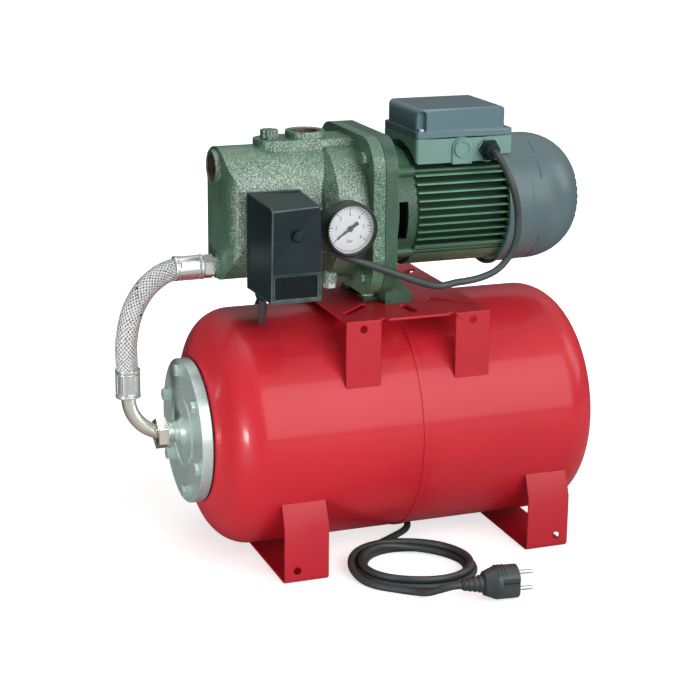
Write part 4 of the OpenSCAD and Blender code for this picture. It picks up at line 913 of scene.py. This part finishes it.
def printed_scale():
    """Six bars of pressure in fifths, with a number at each bar."""
    x, y, z = GAUGE_AT
    long_tick, short_tick = scale_tick("long_tick", 4.4, 0.8), scale_tick("short_tick", 2.4, 0.45)
    marks = []
    ticks = BARS * TICKS_PER_BAR
    for k in range(ticks + 1):
        source = short_tick if k % TICKS_PER_BAR else long_tick
        angle = 180 + SCALE_START + SCALE_SWEEP * k / ticks
        marks.append(another(source, "mark_%d" % k, about_gauge(angle)))
    for k in range(BARS + 1):
        angle = math.radians(180 + SCALE_START + SCALE_SWEEP * k / BARS)
        marks.append(printed(str(k), 5.6, NUMBER_R * math.sin(angle),
                             NUMBER_R * math.cos(angle)))
    marks.append(printed("bar", 5.4, 0, -UNIT_BELOW))
    marks.append(ring("scale_line", (x, y - PRINT_PROUD, z), LINE_R, 0.22, (72, 6), UPRIGHT))
    for piece in (long_tick, short_tick):
        bpy.data.objects.remove(piece)
    finished(joined("dial_marks", marks), PRINT_AND_SLOT_SHADE)


def gauge_rim():
    """The ring that holds the lens, with a flat front."""
    x, y, z = GAUGE_AT
    rim = ring("lens_ring", (x, RIM_Y, z), RIM_R, RIM_THICKNESS, (96, 12), UPRIGHT)
    flattened(rim, (x, RIM_FLAT_Y, z), (0, -1, 0))
    shaded(rim)
    finished(rim, GAUGE_BLACK)


def pointer():
    """A tapered hand with a broad tail and a round hub."""
    x, y, z = GAUGE_AT
    hub = primitive("cylinder", "pointer_hub", vertices=32, radius=HUB_R * MM, depth=1.6 * MM,
                    location=Vector((x, HUB_Y, z)) * MM, rotation=UPRIGHT)
    placed(hub)
    modified(hub, "BEVEL", width=0.4 * MM, segments=2, limit_method="ANGLE")
    hand = block("hand", (x, HAND_Y, z + (HAND_TIP + HAND_TAIL) / 2), HAND_SIZE)
    only(hand)
    bpy.ops.object.mode_set(mode="EDIT")
    for end, side, width in ((HAND_TIP, 1, 0.35), (HAND_TAIL, -1, 1.9)):
        pick(hand, lambda at, out: out.z * side > 0.9)
        bpy.ops.transform.resize(value=(width, 1, 1),
                                 center_override=Vector((x, HAND_Y, z + end)) * MM)
    bpy.ops.object.mode_set(mode="OBJECT")
    modified(hand, "BEVEL", width=0.15 * MM, segments=1)
    piece = joined("gauge_pointer", [hand, hub])
    piece.data.transform(about_gauge(POINTER_TURN))
    finished(piece, GAUGE_BLACK, nodes["gauge_needle"]["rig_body"])
    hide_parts("gauge_needle")


printed_scale()
gauge_rim()
pointer()


# Hose ferrules

# Height and radius along one sleeve, outside and back down its inside, mm
FERRULE_STATIONS = [
    (0, 13.3), (0.7, 14.1), (2.8, 14.1), (3.4, 13.3), (4.6, 13.3), (5.2, 13.9), (27.4, 13.9),
    (28, 13.3), (29.2, 13.3), (29.8, 14.1), (32.4, 14.1), (33, 13.4), (33, 12.4), (0, 12.4)]
FERRULE_FACETS = 48
# Faces farther from the axis than this are on a sleeve's outside
FERRULE_OUTSIDE = 13.5
# One pressed window: where it lies up the sleeve and round it, its edge and its depth
WINDOW_HEIGHTS, WINDOW_SPAN, WINDOW_EVERY = (10, 22), (9, 51), 60
WINDOW_EDGE, WINDOW_DEPTH = 0.9, 0.7
# Where the lower and the upper one stand
LOWER_FERRULE = moved(-271, 0, 191) @ turned(8, "Z")
UPPER_FERRULE = moved(-183.5, 0, 333.5) @ turned(-90, "Y") @ turned(25, "Z")


def crimped_ferrule():
    """A turned sleeve with beads at its ends and six pressed windows, on its lower end."""
    height, radius = FERRULE_STATIONS[0]
    sleeve = primitive("circle", "ferrule", vertices=FERRULE_FACETS, radius=radius * MM)
    bpy.ops.object.mode_set(mode="EDIT")
    bpy.ops.mesh.select_mode(type="EDGE")
    bpy.ops.mesh.select_all(action="SELECT")
    for next_height, next_radius in FERRULE_STATIONS[1:] + [FERRULE_STATIONS[0]]:
        bpy.ops.mesh.extrude_region_move(
            TRANSFORM_OT_translate={"value": (0, 0, (next_height - height) * MM)})
        ratio = next_radius / radius
        bpy.ops.transform.resize(value=(ratio, ratio, 1),
                                 center_override=(0, 0, next_height * MM))
        height, radius = next_height, next_radius
    bpy.ops.mesh.select_all(action="SELECT")
    bpy.ops.mesh.remove_doubles(threshold=1e-5)
    bpy.ops.mesh.normals_make_consistent(inside=False)

    def in_window(at, out):
        half_facet = 180 / FERRULE_FACETS
        turn = (math.degrees(math.atan2(at.y, at.x)) + half_facet) % WINDOW_EVERY
        low, high = WINDOW_HEIGHTS
        start, end = WINDOW_SPAN
        outside = math.hypot(at.x, at.y) > FERRULE_OUTSIDE
        return outside and low < at.z < high and start < turn < end
    pick(sleeve, in_window)
    bpy.ops.mesh.inset(thickness=WINDOW_EDGE * MM, depth=0, use_individual=False)
    bpy.ops.transform.shrink_fatten(value=-WINDOW_DEPTH * MM)
    bpy.ops.object.mode_set(mode="OBJECT")
    modified(sleeve, "BEVEL", width=0.25 * MM, segments=2, limit_method="ANGLE",
             angle_limit=math.radians(30), use_clamp_overlap=True)
    return sleeve


def hose_ferrules():
    """The sleeve at the hose's lower end, and the same one at its upper end."""
    first = crimped_ferrule()
    lower = another(first, "lower_ferrule", LOWER_FERRULE)
    upper = another(first, "upper_ferrule", UPPER_FERRULE)
    bpy.data.objects.remove(first)
    piece = joined("crimped_ferrules", [lower, upper])
    shaded(piece)
    finished(piece, PRESSED)
    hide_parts("hose_ferrules")


# The switch's screw and cover

SCREW_X, SCREW_Z = -122.6, 394.3
SCREW_RING_Y, SCREW_FLAT_Y, SCREW_SLOT_Y = -149.2, -149.55, -149.25
# The bare panel's face lies between these places in y and in z
PANEL_Y, PANEL_Z = (-143.7, -143.3), (326, 353)
# A deep edge of the cover is longer than this; it is a top outside one above this height and
# within this distance of the cover's side
DEEP, TOP_Z, NEAR_SIDE = 60, 420, 5


def screw_ring():
    """The raised ring round the slot of the switch's screw, light grey as a painted highlight, and
    the slot as a dark bar of painted shade.
    """
    piece = ring("screw_ring", (SCREW_X, SCREW_RING_Y, SCREW_Z), 4.1, 0.55, (48, 10), UPRIGHT)
    flattened(piece, (SCREW_X, SCREW_FLAT_Y, SCREW_Z), (0, -1, 0))
    # The slot is a dark bar of painted shade
    slot = block("screw_slot_shade", (SCREW_X, SCREW_SLOT_Y, SCREW_Z), (1.3, 0.7, 5.4), 0.15,
                 rotation=(0, math.radians(12), 0))
    shaded(piece, 60)
    for form, material in ((piece, EDGE_HIGHLIGHT), (slot, PRINT_AND_SLOT_SHADE)):
        finished(form, material, nodes["cover_screw"]["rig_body"])


def switch_front():
    """The switch's cover with round corners, a painted highlight on its rounded edges and a darker
    bare panel.
    """
    piece = copy_of("switch_cover")
    for material in (EDGE_HIGHLIGHT, BARE_PANEL):
        piece.data.materials.append(material)
    only(piece)
    bpy.ops.object.mode_set(mode="EDIT")
    pick(piece, lambda at, out: PANEL_Y[0] < at.y < PANEL_Y[1] and PANEL_Z[0] < at.z < PANEL_Z[1])
    piece.active_material_index = 2
    bpy.ops.object.material_slot_assign()
    bpy.ops.mesh.select_mode(type="EDGE")
    bpy.ops.mesh.select_all(action="DESELECT")
    form = bmesh.from_edit_mesh(piece.data)
    sides = [end(v.co.x for v in form.verts) for end in (min, max)]
    for edge in form.edges:
        a, b = (v.co for v in edge.verts)
        outside = all(min(abs(p.x - x) for x in sides) < NEAR_SIDE * MM and p.z > TOP_Z * MM
                      for p in (a, b))
        if outside and abs(a.y - b.y) > DEEP * MM:
            edge.select_set(True)
    bmesh.update_edit_mesh(piece.data)
    bpy.ops.mesh.bevel(offset=3 * MM, segments=4, affect="EDGES", loop_slide=False)
    bpy.ops.object.mode_set(mode="OBJECT")
    # The rounded edges take the second material, a painted highlight
    modified(piece, "BEVEL", width=1.4 * MM, segments=3, limit_method="ANGLE",
             angle_limit=math.radians(40), use_clamp_overlap=False, loop_slide=False, material=1)
    shaded(piece)


# Fan cover's marks, the bladder's lip with painted shade in the flange's gap, and the threads in
# the two ports

# Ribs round the shaft near the cover's step: radius, half their thickness, spans, place along
MARKS = {"radius": 73.2, "thickness": 1.0, "stations": [197.5],
         "spans": [(52, 67), (27, 44), (-66, -27), (114, 131), (207, 224)]}
# The bladder's lip, a dark ring that is partly painted shade of the gap behind the flange: its
# middle, where it is cut flat and its radius
LIP_X, LIP_FLAT_X, LIP_R = -196.6, -197.3, 81.4
# The threads: radius, half their thickness, first one's depth, pitch and number, and how far
# their inner faces are drawn in
THREAD_R, THREAD_THICKNESS, THREAD_START, THREAD_PITCH, THREADS = 15.3, 0.85, 1.2, 2.3, 6
CREST = 0.985


def cover_ribs():
    """Pressed marks near the fan cover's step."""
    piece = ribs("cover_marks", **MARKS)
    piece.data.transform(moved(z=SHAFT_Z))
    finished(piece, COVER_GREY)


def bladder_lip():
    """The bladder's rubber lip, a dark line behind the flange that also stands for painted shade
    in the gap there.
    """
    lip = ring("bladder_lip", (LIP_X, 0, TANK_Z), LIP_R, 1.0, (144, 10), SIDEWAYS)
    flattened(lip, (LIP_FLAT_X, 0, TANK_Z), (-1, 0, 0))
    shaded(lip, 60)
    finished(lip, RUBBER)


def port_threads(name, mouth, inward, turn):
    """Rings of thread in a port of one inch, inward from its mouth."""
    start, line = Vector(mouth), Vector(inward)
    first = ring(name + "_first", start + line * THREAD_START, THREAD_R, THREAD_THICKNESS,
                 (72, 8), turn)
    bpy.ops.object.mode_set(mode="EDIT")
    pick(first, lambda at, out: out.dot(at - start - line * out.dot(line)) < 0
         and abs(out.dot(line)) < 0.5)
    bpy.ops.transform.resize(value=(CREST, CREST, CREST))
    bpy.ops.object.mode_set(mode="OBJECT")
    rings = [first] + [another(first, "%s_%d" % (name, k), moved(*(line * THREAD_PITCH * k)))
                       for k in range(1, THREADS)]
    piece = joined(name, rings)
    shaded(piece, 60)
    finished(piece, BARE_IRON)


hose_ferrules()
screw_ring()
switch_front()
cover_ribs()
bladder_lip()
port_threads("suction_thread", (-172.5, 0, 443.8), (1, 0, 0), SIDEWAYS)
port_threads("delivery_thread", (-64, 0, 480), (0, 0, -1), (0, 0, 0))
